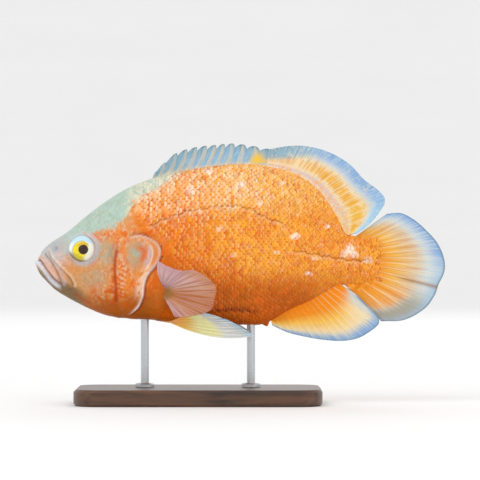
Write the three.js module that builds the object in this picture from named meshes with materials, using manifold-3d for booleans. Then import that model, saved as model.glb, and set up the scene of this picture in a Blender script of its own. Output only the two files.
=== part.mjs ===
// An oscar fish at life size, held above a plain display stand by two short rods.
// Millimetres, +Z up. The fish faces -X, so its left flank faces -Y.
// The origin is on the floor, under the middle of the fish's length.
import * as THREE from 'three';
import { mergeVertices } from 'three/addons/utils/BufferGeometryUtils.js';
import Module from 'manifold-3d';

const wasm = await Module();
wasm.setup();

// Driving dimensions
const TOTAL_LENGTH = 250; // lower jaw to the hind edge of the tail fin
const AXIS_HEIGHT = 86.5; // the body's long axis above the floor
const BODY_END = 206.5; // where the flesh ends inside the tail fin
const GAP = 0.3; // between nodes that touch
const SIDES = { left: -1, right: 1 };

// Places on the fish are given as along (behind the jaw's tip), side and up (above the long axis).
const place = (along, side, up) =>
  new THREE.Vector3(along - TOTAL_LENGTH / 2, side, AXIS_HEIGHT + up);

// A smooth curve through [position, value] pairs, as a function of the position.
function curveThrough(points) {
  const last = points.length - 1;
  const slopes = points.map((_, i) => {
    const [x0, y0] = points[Math.max(i - 1, 0)];
    const [x1, y1] = points[Math.min(i + 1, last)];
    return (y1 - y0) / (x1 - x0);
  });
  return (x) => {
    if (x <= points[0][0]) return points[0][1];
    if (x >= points[last][0]) return points[last][1];
    const i = points.findIndex((p) => p[0] > x) - 1;
    const step = points[i + 1][0] - points[i][0];
    const t = (x - points[i][0]) / step;
    return (
      points[i][1] * (1 + 2 * t) * (1 - t) ** 2 +
      points[i + 1][1] * t * t * (3 - 2 * t) +
      slopes[i] * step * t * (1 - t) ** 2 -
      slopes[i + 1] * step * t * t * (1 - t)
    );
  };
}

// The body's outlines, each as [along, value]
const backLine = curveThrough([
  [0, -0.6], [0.7, 1.4], [2.6, 4.6], [5.4, 8.1], [10, 12.1], [15, 15.3], [20, 18.6],
  [29.6, 26.8], [44, 37.7], [58, 45.9], [72, 51.3], [90, 55.6], [112, 59], [131, 59.8],
  [149, 57.2], [160, 53.4], [171, 46.2], [179, 36.6], [185, 26.2], [188.5, 18.8],
  [191, 16.6], [195, 15.9], [201, 15], [205, 11.5], [BODY_END, 1],
]);
const bellyLine = curveThrough([
  [0, -0.6], [0.6, -2.6], [2.2, -6.2], [5.2, -10.4], [10, -15.2], [15, -18.9], [24.7, -24.4],
  [34.5, -29.2], [45, -33], [56, -34.5], [70, -35.5], [86, -37.4], [104, -38.4], [126, -38.3],
  [137, -38.2], [144, -35.6], [155, -29.2], [168, -23.6], [177, -18.4], [185, -14.6],
  [193, -13.7], [201, -13.9], [205, -10.4], [BODY_END, 1],
]);
const halfWidth = curveThrough([
  [0, 0], [0.7, 2.9], [2.2, 5], [5, 7.4], [10, 9.8], [20, 12.8], [30, 15.1], [45, 18.2],
  [60, 20.4], [75, 21.2], [92, 21], [112, 19.8], [132, 17.2], [150, 13.8], [168, 10],
  [182, 7.2], [190, 5.6], [196, 4.1], [201, 2.7], [205, 1.5], [BODY_END, 0],
]);
// Height of the widest part of each cross-section
const flankLine = curveThrough([
  [0, -0.6], [8, -1.4], [25, -1], [50, 0], [80, 4], [115, 8], [150, 9], [180, 6], [BODY_END, 1],
]);
// How square the cross-section is above and below the flank: 2 is an ellipse
const backFullness = curveThrough([[0, 2], [20, 2.2], [60, 1.95], [110, 1.85], [160, 1.8], [BODY_END, 2]]);
const bellyFullness = curveThrough([[0, 2], [30, 2.1], [70, 2.5], [110, 2.3], [150, 2], [BODY_END, 2]]);

const RING_STARTS = [
  0.35, 1.4, 3.2, 6, 9.6, 14, 19, 24.5, 30.5, 37, 44, 51, 58.5, 67, 77, 88, 100, 112, 124, 135,
  144, 152, 159.5, 166.5, 173, 179, 184.5, 190, 196, 201, 204.6,
];
const RING_POINTS = 28;
const SNOUT_UP = -0.6; // where the flesh closes at the jaw's tip
const STALK_UP = 1; // where it closes inside the tail fin
const TIP_ROOM = 8; // how far from each end a grown or shrunk body is also longer or shorter

const power = (value, exponent) => Math.sign(value) * Math.abs(value) ** exponent;

// One point of the body's skin, moved outwards by grow. Angle 0 is the back, and it runs to the right flank.
function skinPoint(along, angle, grow) {
  const level = flankLine(along);
  const upper = Math.cos(angle) >= 0;
  const reach = upper ? backLine(along) - level : level - bellyLine(along);
  const fullness = upper ? backFullness(along) : bellyFullness(along);
  const shift =
    grow * (Math.max(0, 1 - (BODY_END - along) / TIP_ROOM) - Math.max(0, 1 - along / TIP_ROOM));
  return place(
    along + shift,
    (halfWidth(along) + grow) * power(Math.sin(angle), 2 / fullness),
    level + (reach + grow) * power(Math.cos(angle), 2 / fullness),
  );
}

// Half of the body's width at a place on its flank, as seen from the side
function flankSide(along, up) {
  const level = flankLine(along);
  const upper = up >= level;
  const reach = upper ? backLine(along) - level : level - bellyLine(along);
  const fullness = upper ? backFullness(along) : bellyFullness(along);
  const share = Math.min(1, Math.abs(up - level) / reach);
  return halfWidth(along) * (1 - share ** fullness) ** (1 / fullness);
}

// Solids and booleans
function solidOf(geometry) {
  const bare = geometry.index ? geometry.toNonIndexed() : geometry.clone();
  bare.deleteAttribute('normal');
  bare.deleteAttribute('uv');
  const merged = mergeVertices(bare, 1e-4);
  return new wasm.Manifold(
    new wasm.Mesh({
      numProp: 3,
      vertProperties: merged.attributes.position.array,
      triVerts: new Uint32Array(merged.index.array),
    }),
  );
}

const largest = (solid) =>
  solid.decompose().reduce((best, part) => (part.volume() > best.volume() ? part : best));

const joined = (solids) => solids.reduce((whole, part) => whole.add(part));

function geometryOf(solid) {
  const mesh = solid.getMesh();
  const geometry = new THREE.BufferGeometry();
  geometry.setAttribute('position', new THREE.BufferAttribute(mesh.vertProperties.slice(), 3));
  geometry.setIndex(new THREE.BufferAttribute(mesh.triVerts.slice(), 1));
  geometry.computeVertexNormals();
  return geometry;
}

// A closed skin over rings of points, drawn to one point at each end
function loft(rings, firstPoint, lastPoint) {
  const count = rings[0].length;
  const positions = [firstPoint, ...rings.flat(), lastPoint].flatMap((p) => [p.x, p.y, p.z]);
  const at = (ring, i) => 1 + ring * count + (i % count);
  const end = 1 + rings.length * count;
  const faces = [];
  for (let i = 0; i < count; i++) {
    faces.push(0, at(0, i + 1), at(0, i));
    faces.push(end, at(rings.length - 1, i), at(rings.length - 1, i + 1));
    for (let ring = 0; ring < rings.length - 1; ring++) {
      faces.push(at(ring, i), at(ring, i + 1), at(ring + 1, i + 1));
      faces.push(at(ring, i), at(ring + 1, i + 1), at(ring + 1, i));
    }
  }
  const geometry = new THREE.BufferGeometry();
  geometry.setAttribute('position', new THREE.Float32BufferAttribute(positions, 3));
  geometry.setIndex(faces);
  const solid = solidOf(geometry);
  if (solid.volume() > 0) return solid;
  geometry.setIndex(faces.reverse());
  return solidOf(geometry);
}

function bodySolid(grow) {
  const rings = RING_STARTS.map((along) =>
    Array.from({ length: RING_POINTS }, (_, i) =>
      skinPoint(along, (2 * Math.PI * i) / RING_POINTS, grow),
    ),
  );
  return loft(rings, place(-grow, 0, SNOUT_UP), place(BODY_END + grow, 0, STALK_UP));
}

// How far cuts through the gill covers and through the whole fish reach to each side
const COVER_REACH = 40;
const FISH_REACH = 60;

// A side-view outline of [along, up] points, carried straight through the fish
function throughCut(outline, halfDepth) {
  const shape = new THREE.Shape(outline.map(([along, up]) => new THREE.Vector2(along, up)));
  const geometry = new THREE.ExtrudeGeometry(shape, { depth: 2 * halfDepth, bevelEnabled: false });
  geometry.rotateX(Math.PI / 2);
  const corner = place(0, halfDepth, 0);
  geometry.translate(corner.x, corner.y, corner.z);
  return solidOf(geometry);
}

// The outline moved outwards by a distance, for a cut that leaves a gap
function grownOutline(outline, distance) {
  const area = THREE.ShapeUtils.area(outline.map(([x, y]) => new THREE.Vector2(x, y)));
  return outline.map(([x, y], i) => {
    const [x0, y0] = outline[(i + outline.length - 1) % outline.length];
    const [x1, y1] = outline[(i + 1) % outline.length];
    const out = new THREE.Vector2(y1 - y0, x0 - x1).normalize();
    return [x + Math.sign(area) * out.x * distance, y + Math.sign(area) * out.y * distance];
  });
}

// A closed outline smoothed through its named points
const smoothOutline = (points, count) =>
  new THREE.CatmullRomCurve3(points.map(([x, y]) => new THREE.Vector3(x, y, 0)), true, 'centripetal')
    .getSpacedPoints(count)
    .slice(0, count)
    .map((p) => [p.x, p.y]);

const SPHERE_RINGS = 0.6; // rings of a ball for each segment round it

function ellipsoid(centre, halfAlong, halfSide, halfUp, segments) {
  const geometry = new THREE.SphereGeometry(1, segments, Math.round(segments * SPHERE_RINGS));
  geometry.rotateX(Math.PI / 2);
  geometry.scale(halfAlong, halfSide, halfUp);
  geometry.translate(centre.x, centre.y, centre.z);
  return solidOf(geometry);
}

// The lips: two fleshy rolls that run round the front of the jaws to the corners of the mouth
const MOUTH_MIDDLE = place(15, 0, -4.5);
const LIP_STEPS = 22;
const LIP_SIDES = 8;
const LIP_END = 0.45; // a lip's thickness at the corner of the mouth, as a share of its middle
const LIP_SWELL = 2.4; // how fast it reaches full thickness from there
const UPPER_LIP = {
  route: [[2.9, 3.4], [4.9, 2.3], [7.9, -0.6], [11.3, -4.8], [14.6, -8.6], [18, -11.6], [20.6, -13]],
  width: 5,
  thickness: 3,
};
const LOWER_LIP = {
  route: [[1.3, -1], [3.2, -1.9], [5.8, -4.9], [8.8, -9.2], [12.2, -12.8], [15.6, -14.9], [18, -15.2]],
  width: 3.4,
  thickness: 2.6,
};

function lip({ route, width, thickness }) {
  const rightHalf = route.map(([along, up], i) => place(along, i ? flankSide(along, up) : 0, up));
  const leftHalf = rightHalf.slice(1).map((p) => new THREE.Vector3(p.x, -p.y, p.z));
  const middle = new THREE.CatmullRomCurve3([...leftHalf.reverse(), ...rightHalf], false, 'centripetal');
  const rings = [];
  for (let i = 1; i < LIP_STEPS; i++) {
    const share = i / LIP_STEPS;
    const point = middle.getPointAt(share);
    const outward = point.clone().sub(MOUTH_MIDDLE).normalize();
    const across = middle.getTangentAt(share).cross(outward).normalize();
    const taper = Math.min(1, LIP_END + LIP_SWELL * Math.min(share, 1 - share));
    rings.push(
      Array.from({ length: LIP_SIDES }, (_, k) => {
        const turn = (2 * Math.PI * k) / LIP_SIDES;
        return point
          .clone()
          .addScaledVector(outward, (Math.cos(turn) * thickness * taper) / 2)
          .addScaledVector(across, (Math.sin(turn) * width * taper) / 2);
      }),
    );
  }
  return loft(rings, middle.getPointAt(0), middle.getPointAt(1));
}

// The eyes: a flattened ball in each socket, with a clear bulge over the iris and a rim of skin round it
const EYE = {
  along: 29.6,
  up: 7.6,
  radius: 8.6,
  depth: 4.8,
  sunk: 2.2,
  iris: 6.1,
  bulge: 0.45,
  segments: 16,
  rim: { radius: 8.3, tube: 0.9, segments: 20 },
};
EYE.side = flankSide(EYE.along, EYE.up) - EYE.sunk;

function eyeball(side, grow = 0) {
  const centre = place(EYE.along, side * EYE.side, EYE.up);
  const radius = EYE.radius + grow;
  const depth = EYE.depth + grow;
  const ball = ellipsoid(centre, radius, depth, radius, EYE.segments);
  const bulge = ellipsoid(centre, EYE.iris + grow, depth + EYE.bulge, EYE.iris + grow, EYE.segments);
  return ball.add(bulge);
}

// A ring of skin that lies on the flank round a place, facing outwards
const RIM_SIDES = 5;

function skinRing({ along, up, rim }, side) {
  const geometry = new THREE.TorusGeometry(rim.radius, rim.tube, RIM_SIDES, rim.segments);
  const here = place(along, side * flankSide(along, up), up);
  const ahead = place(along - 1, side * flankSide(along - 1, up), up).sub(here);
  const above = place(along, side * flankSide(along, up + 1), up + 1).sub(here);
  const outward = above.clone().cross(ahead).multiplyScalar(side).normalize();
  geometry.applyQuaternion(
    new THREE.Quaternion().setFromUnitVectors(new THREE.Vector3(0, 0, 1), outward),
  );
  geometry.translate(here.x, here.y, here.z);
  return solidOf(geometry);
}

// The nostrils: one small rimmed pit on each side of the snout
const NOSTRIL = {
  along: 13.4,
  up: 8.2,
  radius: 0.8,
  depth: 1.6,
  segments: 8,
  rim: { radius: 1, tube: 0.5, segments: 10 },
};

const nostrilPit = (side) =>
  ellipsoid(
    place(NOSTRIL.along, side * flankSide(NOSTRIL.along, NOSTRIL.up), NOSTRIL.up),
    NOSTRIL.radius,
    NOSTRIL.depth,
    NOSTRIL.radius,
    NOSTRIL.segments,
  );

// The lower jaw's share of the head, below the line of the mouth
const JAW_OUTLINE = [
  [-8, 1.3], [3, 1.3], [6.2, -2.4], [9.3, -6.9], [12, -10.6], [15.4, -13.2], [19.8, -14.2],
  [23.5, -19], [27, -30], [-8, -30],
];

// The gill covers: a plate on each side that stands a little proud of the breast behind it
const GILL_COVER = { proud: 0.9, depth: 2.4, points: 32, fromMiddle: 1 };
GILL_COVER.outline = smoothOutline(
  [
    [49.7, 3.7], [49.2, -2.4], [49.5, -11.6], [50.6, -22], [53, -28.4], [57.5, -31.2],
    [63.2, -27.8], [66.4, -21.6], [67.4, -14], [69.4, -7.9], [74.5, -1.4], [77.2, 4.8],
    [76.4, 9.6], [72.8, 13.2], [67, 15.2], [60.8, 14], [55.2, 11.6], [51, 8],
  ],
  GILL_COVER.points,
);

function gillCover(side) {
  const shell = bodySolid(GILL_COVER.proud).subtract(bodySolid(-GILL_COVER.depth));
  const plate = shell.intersect(throughCut(GILL_COVER.outline, COVER_REACH));
  return largest(plate.trimByPlane([0, side, 0], GILL_COVER.fromMiddle));
}

const gillRecess = () =>
  throughCut(grownOutline(GILL_COVER.outline, GAP), COVER_REACH).subtract(
    bodySolid(-GILL_COVER.depth - GAP),
  );

// The parting between head and trunk: from the nape down under the gill covers to the throat
const NECK_LINE = [[57, 62], [59.5, 30], [62, 14], [60.5, -8], [60, -30], [60.5, -62]];
// The parting between trunk and tail stalk
const STALK_START = 187.5;

// A box well clear of the whole fish, for the far sides of the shares
const CLEAR = { front: -20, rear: 260, over: 62, under: -62 };

const HEAD_SHARE = [[CLEAR.front, CLEAR.over], ...NECK_LINE, [CLEAR.front, CLEAR.under]];
const STALK_SHARE = [
  [STALK_START, CLEAR.over], [CLEAR.rear, CLEAR.over],
  [CLEAR.rear, CLEAR.under], [STALK_START, CLEAR.under],
];

// The vent: a small blunt knob just ahead of the anal fin
const VENT = { along: 139.6, up: -38.6, halfLength: 2.6, halfWidth: 1.7, halfHeight: 2.2, segments: 10 };
const vent = () =>
  ellipsoid(place(VENT.along, 0, VENT.up), VENT.halfLength, VENT.halfWidth, VENT.halfHeight, VENT.segments);

function fleshParts() {
  const plain = joined([
    bodySolid(0),
    lip(UPPER_LIP),
    lip(LOWER_LIP),
    vent(),
    ...Object.values(SIDES).map((side) => skinRing(EYE, side)),
    ...Object.values(SIDES).map((side) => skinRing(NOSTRIL, side)),
  ]);
  const hollows = joined([
    gillRecess(),
    ...Object.values(SIDES).map((side) => eyeball(side, GAP)),
    ...Object.values(SIDES).map(nostrilPit),
  ]);
  const flesh = plain.subtract(hollows);
  const wider = (outline, gap) => throughCut(grownOutline(outline, gap), FISH_REACH);
  const headShare = throughCut(HEAD_SHARE, FISH_REACH);
  const jawShare = throughCut(JAW_OUTLINE, FISH_REACH);
  const stalkShare = throughCut(STALK_SHARE, FISH_REACH);
  return {
    lower_jaw: largest(flesh.intersect(jawShare)),
    head: largest(flesh.intersect(headShare).subtract(wider(JAW_OUTLINE, GAP))),
    trunk: largest(flesh.subtract(wider(HEAD_SHARE, GAP)).subtract(stalkShare)),
    tail_stalk: largest(flesh.intersect(wider(STALK_SHARE, -GAP))),
  };
}

// Ray columns as [offset from the crest in ray spacings, ridge height]
const RAY_COLUMNS = [[0, 1], [0.26, 0], [0.74, 0]];
const SURFACE_STEP = 0.004; // for working out which way the membrane faces
const TIP_RIDGE = 0.3; // a ray's height at the fin's edge, as a share of its height at the root

// A fin is a thin membrane spread over its rays. Key rays give [share, root, tip], where share runs
// from the front ray to the last. Each ray is a ridge on both faces that thins out to the fin's edge.
// sink says how far the root reaches on into the body, before the body's shape is cut away from it.
function fin(spec) {
  const { keys, rayCount, rows, rootHalf, edgeHalf, ridge, sink } = spec;
  const { bend = () => [0, 0, 0], edge = () => 1, columns = RAY_COLUMNS } = spec;
  const axes = [0, 1, 2];
  const roots = axes.map((a) => curveThrough(keys.map(([share, root]) => [share, root[a]])));
  const tips = axes.map((a) => curveThrough(keys.map(([share, , tip]) => [share, tip[a]])));
  const sheet = (anyShare, out) => {
    const share = Math.min(1, Math.max(0, anyShare));
    const extra = bend(share, out);
    const at = axes.map((a) => roots[a](share) + (tips[a](share) - roots[a](share)) * out + extra[a]);
    return place(...at);
  };
  const facing = (share, out) => {
    const alongRoot = sheet(share + SURFACE_STEP, out).sub(sheet(share - SURFACE_STEP, out));
    const alongRay = sheet(share, out + SURFACE_STEP).sub(sheet(share, out));
    return alongRoot.cross(alongRay).normalize();
  };
  const stops = [];
  for (let ray = 0; ray < rayCount; ray++)
    stops.push(...columns.map(([offset, height]) => [(ray + offset) / rayCount, height]));
  stops.push([1, 1]);
  const front = [];
  const back = [];
  const addPoint = (point, across, half) => {
    front.push(point.clone().addScaledVector(across, half));
    back.push(point.clone().addScaledVector(across, -half));
  };
  for (const [share, height] of stops) {
    const rootFacing = facing(share, 0);
    addPoint(sheet(share, 0).add(new THREE.Vector3(...sink)), rootFacing, rootHalf);
    for (let row = 0; row <= rows; row++) {
      const out = row / rows;
      const membrane = rootHalf + (edgeHalf - rootHalf) * Math.sqrt(out);
      const half = membrane + ridge * height * (1 - (1 - TIP_RIDGE) * out);
      const reach = out * edge(share);
      addPoint(sheet(share, reach), facing(share, reach), half);
    }
  }
  return sheetSolid(front, back, stops.length, rows + 2);
}

// Closes two matching grids of points into one solid, cut into triangles alike on both faces
function sheetSolid(front, back, columns, rows) {
  const positions = [...front, ...back].flatMap((p) => [p.x, p.y, p.z]);
  const turn = columns * rows;
  const at = (column, row) => column * rows + row;
  const faces = [];
  const quad = (a, b, c, d) => faces.push(a, b, c, a, c, d);
  for (let c = 0; c < columns - 1; c++)
    for (let r = 0; r < rows - 1; r++) {
      const [a, b, d, e] = [at(c, r), at(c + 1, r), at(c + 1, r + 1), at(c, r + 1)];
      faces.push(a, b, d, a, d, e);
      faces.push(turn + a, turn + d, turn + b, turn + a, turn + e, turn + d);
    }
  for (let c = 0; c < columns - 1; c++) {
    quad(at(c, 0), turn + at(c, 0), turn + at(c + 1, 0), at(c + 1, 0));
    const r = rows - 1;
    quad(at(c + 1, r), turn + at(c + 1, r), turn + at(c, r), at(c, r));
  }
  for (let r = 0; r < rows - 1; r++) {
    quad(at(0, r + 1), turn + at(0, r + 1), turn + at(0, r), at(0, r));
    const c = columns - 1;
    quad(at(c, r), turn + at(c, r), turn + at(c, r + 1), at(c, r + 1));
  }
  const geometry = new THREE.BufferGeometry();
  geometry.setAttribute('position', new THREE.Float32BufferAttribute(positions, 3));
  geometry.setIndex(faces);
  const solid = solidOf(geometry);
  if (solid.volume() > 0) return solid;
  geometry.setIndex(faces.reverse());
  return solidOf(geometry);
}

// A fin's key ray in the fish's middle plane
const midRay = (share, rootAlong, rootUp, tipAlong, tipUp) => [
  share,
  [rootAlong, 0, rootUp],
  [tipAlong, 0, tipUp],
];

// The rear rays of a middle fin curl over to the left by aside, and bow upwards by bow
const rearCurl = (aside, bow) => (share, out) => [
  0,
  -aside * share ** 3 * Math.max(0, out) ** 1.5,
  bow * share * out * (1 - out),
];

// The spiny dorsal fin: twelve stiff spines, with the membrane notched at each one
const SPINES = {
  keys: [
    midRay(0, 71, 50.2, 72.8, 54.6),
    midRay(0.09, 75, 51.5, 78.2, 60.2),
    midRay(0.18, 80.6, 52.9, 85.6, 66.4),
    midRay(0.36, 92, 55, 97.7, 70.2),
    midRay(0.55, 104, 57, 109.8, 71.6),
    midRay(0.73, 116, 58.2, 120.4, 72.4),
    midRay(0.9, 129.5, 58.9, 133.4, 70.8),
    midRay(1, 140.4, 58.5, 142, 69),
  ],
  rayCount: 11,
  rows: 3,
  rootHalf: 1.1,
  edgeHalf: 0.28,
  ridge: 0.55,
  sink: [-1.5, 0, -5],
  columns: [[0, 1], [0.24, 0], [0.45, 0], [0.8, 0]],
  notch: { width: 0.24, depth: 0.14, roundness: 2.4 },
};
// The edge drops to a notch behind each spine and rises from it in a round lobe to the next
SPINES.edge = (share) => {
  const lobe = (((share * SPINES.rayCount) % 1) + 1) % 1;
  const { width, depth, roundness } = SPINES.notch;
  const fall = lobe < width ? lobe / width : ((1 - lobe) / (1 - width)) ** roundness;
  return 1 - depth * fall;
};

// The soft dorsal fin: eighteen branched rays over a thick scaly base, drawn out to a lobe behind
const SOFT_DORSAL = {
  keys: [
    midRay(0, 141.2, 58.4, 142.8, 68.8),
    midRay(0.12, 149.6, 56.6, 155.2, 70.8),
    midRay(0.25, 157, 53.8, 166.8, 70.4),
    midRay(0.4, 164.8, 49.8, 179.6, 66.8),
    midRay(0.55, 171.9, 44.6, 191.8, 59.5),
    midRay(0.68, 177.8, 37.6, 200.4, 50.3),
    midRay(0.8, 182.4, 30, 209.5, 43.3),
    midRay(0.88, 185.2, 25.2, 213.2, 37.2),
    midRay(0.94, 187.2, 21, 209.6, 30.2),
    midRay(0.97, 188.4, 18.4, 204.2, 23.6),
    midRay(1, 189.4, 15.4, 196.4, 17.5),
  ],
  rayCount: 17,
  rows: 3,
  rootHalf: 1.7,
  edgeHalf: 0.28,
  ridge: 0.4,
  sink: [-3.2, 0, -3.8],
  bend: rearCurl(3, 1.6),
};

// The anal fin: sixteen rays, short and stiff in front, rounded behind like the dorsal
const ANAL_FIN = {
  keys: [
    midRay(0, 143.6, -34.6, 144.4, -38.6),
    midRay(0.1, 147.4, -32.8, 152.8, -42.6),
    midRay(0.25, 153.6, -29.4, 163.6, -45.4),
    midRay(0.4, 160.2, -26.4, 175.2, -47.4),
    midRay(0.55, 166.4, -23.8, 187, -48.1),
    midRay(0.68, 171.6, -21.4, 196.2, -46.6),
    midRay(0.8, 176.4, -18.6, 204, -42.4),
    midRay(0.9, 180.2, -16.4, 209.6, -36.8),
    midRay(0.96, 184, -15, 206.2, -31.8),
    midRay(1, 186, -14.5, 195.4, -22.4),
  ],
  rayCount: 15,
  rows: 3,
  rootHalf: 1.7,
  edgeHalf: 0.28,
  ridge: 0.4,
  sink: [-2.4, 0, 4.4],
  bend: rearCurl(3.2, 0),
};

// The tail fin: sixteen rays spread in a round fan, with one fold below the middle
const TAIL_FIN = {
  keys: [
    midRay(0, 190.5, 12.4, 214.6, 29.4),
    midRay(0.1, 194, 12.6, 223, 29.8),
    midRay(0.2, 197, 11, 231, 25.8),
    midRay(0.3, 199.4, 9, 238.4, 19.4),
    midRay(0.4, 201, 6.2, 245.4, 11.4),
    midRay(0.5, 201.8, 2.8, 249.4, 1.9),
    midRay(0.6, 201.8, -0.6, 249.4, -6.2),
    midRay(0.68, 201.4, -3.4, 246, -13.6),
    midRay(0.76, 200.2, -6.2, 243.6, -20.4),
    midRay(0.85, 197.8, -9.2, 237, -28.8),
    midRay(0.93, 194, -11.8, 224.8, -35.4),
    midRay(1, 189.8, -13.4, 211.4, -35.9),
  ],
  rayCount: 16,
  rows: 4,
  rootHalf: 1.5,
  edgeHalf: 0.26,
  ridge: 0.45,
  sink: [-6, 0, 0],
  wave: { turns: 5, height: 1.4, lean: 0.8, growth: 1.3 },
  fold: { share: 0.69, sharpness: 26, width: 0.16, height: 1.5 },
  lowerLobe: { share: 0.82, height: 1.6 },
};
// The fan waves from side to side, with a sharp step at the fold and the lowest rays set to one side
TAIL_FIN.bend = (share, out) => {
  const { wave, fold, lowerLobe } = TAIL_FIN;
  const past = share - fold.share;
  const step = Math.tanh(past * fold.sharpness) * Math.exp(-((past / fold.width) ** 2));
  const swing = wave.height * Math.sin(share * wave.turns) + fold.height * step + wave.lean;
  const low = Math.max(0, (share - lowerLobe.share) / (1 - lowerLobe.share));
  const aside = lowerLobe.height * low ** 2 * (3 - 2 * low) * Math.sqrt(Math.max(0, out));
  return [0, swing * Math.max(0, out) ** wave.growth + aside, 0];
};

// The breast fins: fourteen soft rays that fan out from a short root and stand off the flank
const PECTORAL = { rootTop: [78.4, -13.4], rootInset: 0.6, frontBow: 6.4, cup: 1.6 };

function pectoral(side) {
  const ray = (share, rootAlong, rootUp, tipAlong, tipUp, out) => [
    share,
    [rootAlong, side * (flankSide(rootAlong, rootUp) - PECTORAL.rootInset), rootUp],
    [tipAlong, side * (flankSide(tipAlong, tipUp) + out), tipUp],
  ];
  const [topAlong, topUp] = PECTORAL.rootTop;
  return {
    keys: [
      ray(0, topAlong, topUp, 75.4, 0.9, 9),
      ray(0.12, topAlong + 0.6, topUp - 0.4, 81.2, -2.4, 10.5),
      ray(0.25, topAlong + 1.2, topUp - 1, 89.6, -5.2, 12),
      ray(0.38, topAlong + 1.7, topUp - 1.9, 97.4, -4.8, 13.5),
      ray(0.5, topAlong + 2, topUp - 2.9, 105.6, -9.6, 14.5),
      ray(0.62, topAlong + 2.1, topUp - 4, 110.2, -14.8, 14),
      ray(0.73, topAlong + 2.1, topUp - 5, 109.6, -21.4, 12.5),
      ray(0.84, topAlong + 1.9, topUp - 6.2, 106.8, -29, 12),
      ray(0.93, topAlong + 1.5, topUp - 7.4, 95.6, -32.6, 9.5),
      ray(1, topAlong + 1, topUp - 8.6, 85.4, -33.2, 7),
    ],
    rayCount: 13,
    rows: 3,
    rootHalf: 0.9,
    edgeHalf: 0.27,
    ridge: 0.35,
    sink: [-2.2, -side * 3.4, 0.4],
    bend: (share, out) => [
      -PECTORAL.frontBow * (1 - share) ** 3 * out * (1 - out),
      side * PECTORAL.cup * out * (1 - out),
      0,
    ],
  };
}

// The belly fins: a spine and five rays each, swept back under the belly to a long point
const PELVIC = { cup: 1.2, sag: 19, sagFade: 1.6 };

function pelvic(side) {
  const ray = (share, rootAlong, rootSide, rootUp, tipAlong, tipSide, tipUp) => [
    share,
    [rootAlong, side * rootSide, rootUp],
    [tipAlong, side * tipSide, tipUp],
  ];
  return {
    keys: [
      ray(0, 82.4, 5.2, -36.2, 133.4, 15.6, -44.6),
      ray(0.2, 84.2, 6.4, -35.9, 131.6, 15.6, -43.2),
      ray(0.45, 86.2, 8, -35.3, 126.4, 15.7, -39.8),
      ray(0.7, 88, 9.8, -34.4, 118.6, 15.9, -35.6),
      ray(0.85, 89.4, 11.2, -33.5, 111.6, 16.2, -33),
      ray(1, 90.4, 12.4, -32.5, 104.4, 16.6, -30.6),
    ],
    rayCount: 6,
    rows: 4,
    rootHalf: 1,
    edgeHalf: 0.27,
    ridge: 0.45,
    sink: [-1, -side * 1.6, 3.4],
    bend: (share, out) => [
      0,
      side * PELVIC.cup * out * (1 - out),
      -PELVIC.sag * (1 - share) ** PELVIC.sagFade * out * (1 - out),
    ],
  };
}

// The stand: a flat bevelled base and two upright rods that end against the belly
const BASE = {
  length: 150,
  width: 84,
  height: 10,
  corner: 14,
  cornerSegments: 6,
  bevel: 1.5,
  middle: -25.5,
};
const ROD = { radius: 2.5, collarRadius: 6, collarHeight: 2.4, chamfer: 0.6, sides: 18 };
const ROD_OVERLAP = 6; // a rod is drawn this far into the belly before the belly is cut away from it
const ROD_PLACES = { front: 66.8, rear: 131.5 };

function standBase() {
  const { length, width, height, corner, cornerSegments, bevel, middle } = BASE;
  const [x, y] = [length / 2 - bevel, width / 2 - bevel];
  const shape = new THREE.Shape();
  shape.moveTo(x, -y + corner);
  shape.lineTo(x, y - corner);
  shape.absarc(x - corner, y - corner, corner, 0, Math.PI / 2);
  shape.lineTo(corner - x, y);
  shape.absarc(corner - x, y - corner, corner, Math.PI / 2, Math.PI);
  shape.lineTo(-x, corner - y);
  shape.absarc(corner - x, corner - y, corner, Math.PI, 1.5 * Math.PI);
  shape.lineTo(x - corner, -y);
  shape.absarc(x - corner, corner - y, corner, 1.5 * Math.PI, 2 * Math.PI);
  const geometry = new THREE.ExtrudeGeometry(shape, {
    depth: height - 2 * bevel,
    bevelThickness: bevel,
    bevelSize: bevel,
    bevelSegments: 1,
    curveSegments: cornerSegments,
  });
  geometry.translate(middle, 0, bevel);
  return solidOf(geometry);
}

function standRod(along, body) {
  const { radius, collarRadius, collarHeight, chamfer, sides } = ROD;
  const foot = BASE.height + GAP;
  const top = AXIS_HEIGHT + bellyLine(along) + ROD_OVERLAP;
  const profile = [
    [0, foot], [collarRadius, foot], [collarRadius, foot + collarHeight - chamfer],
    [collarRadius - chamfer, foot + collarHeight], [radius, foot + collarHeight], [radius, top], [0, top],
  ].map(([r, z]) => new THREE.Vector2(r, z));
  const geometry = new THREE.LatheGeometry(profile, sides);
  geometry.rotateX(Math.PI / 2);
  geometry.translate(along - TOTAL_LENGTH / 2, 0, 0);
  return largest(solidOf(geometry).subtract(body));
}

// Materials
const finish = (color, roughness, metalness = 0) =>
  new THREE.MeshStandardMaterial({ color, roughness, metalness });
const MATERIALS = {
  skin: finish('#e8872f', 0.45),
  headSkin: finish('#cfa27c', 0.42),
  fin: finish('#8fb4dc', 0.5),
  warmFin: finish('#e9a64a', 0.5),
  paleFin: finish('#cf9d98', 0.45),
  eye: finish('#e8c81e', 0.1),
  wood: finish('#4a3122', 0.5),
  steel: finish('#b9bcc0', 0.3, 1),
};

// Assembly
const oscar = new THREE.Group();

function add(name, solid, material) {
  const mesh = new THREE.Mesh(geometryOf(solid), material);
  mesh.name = name;
  oscar.add(mesh);
}

const flesh = fleshParts();
const clearance = bodySolid(GAP);
const rooted = (spec) => largest(fin(spec).subtract(clearance));

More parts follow.
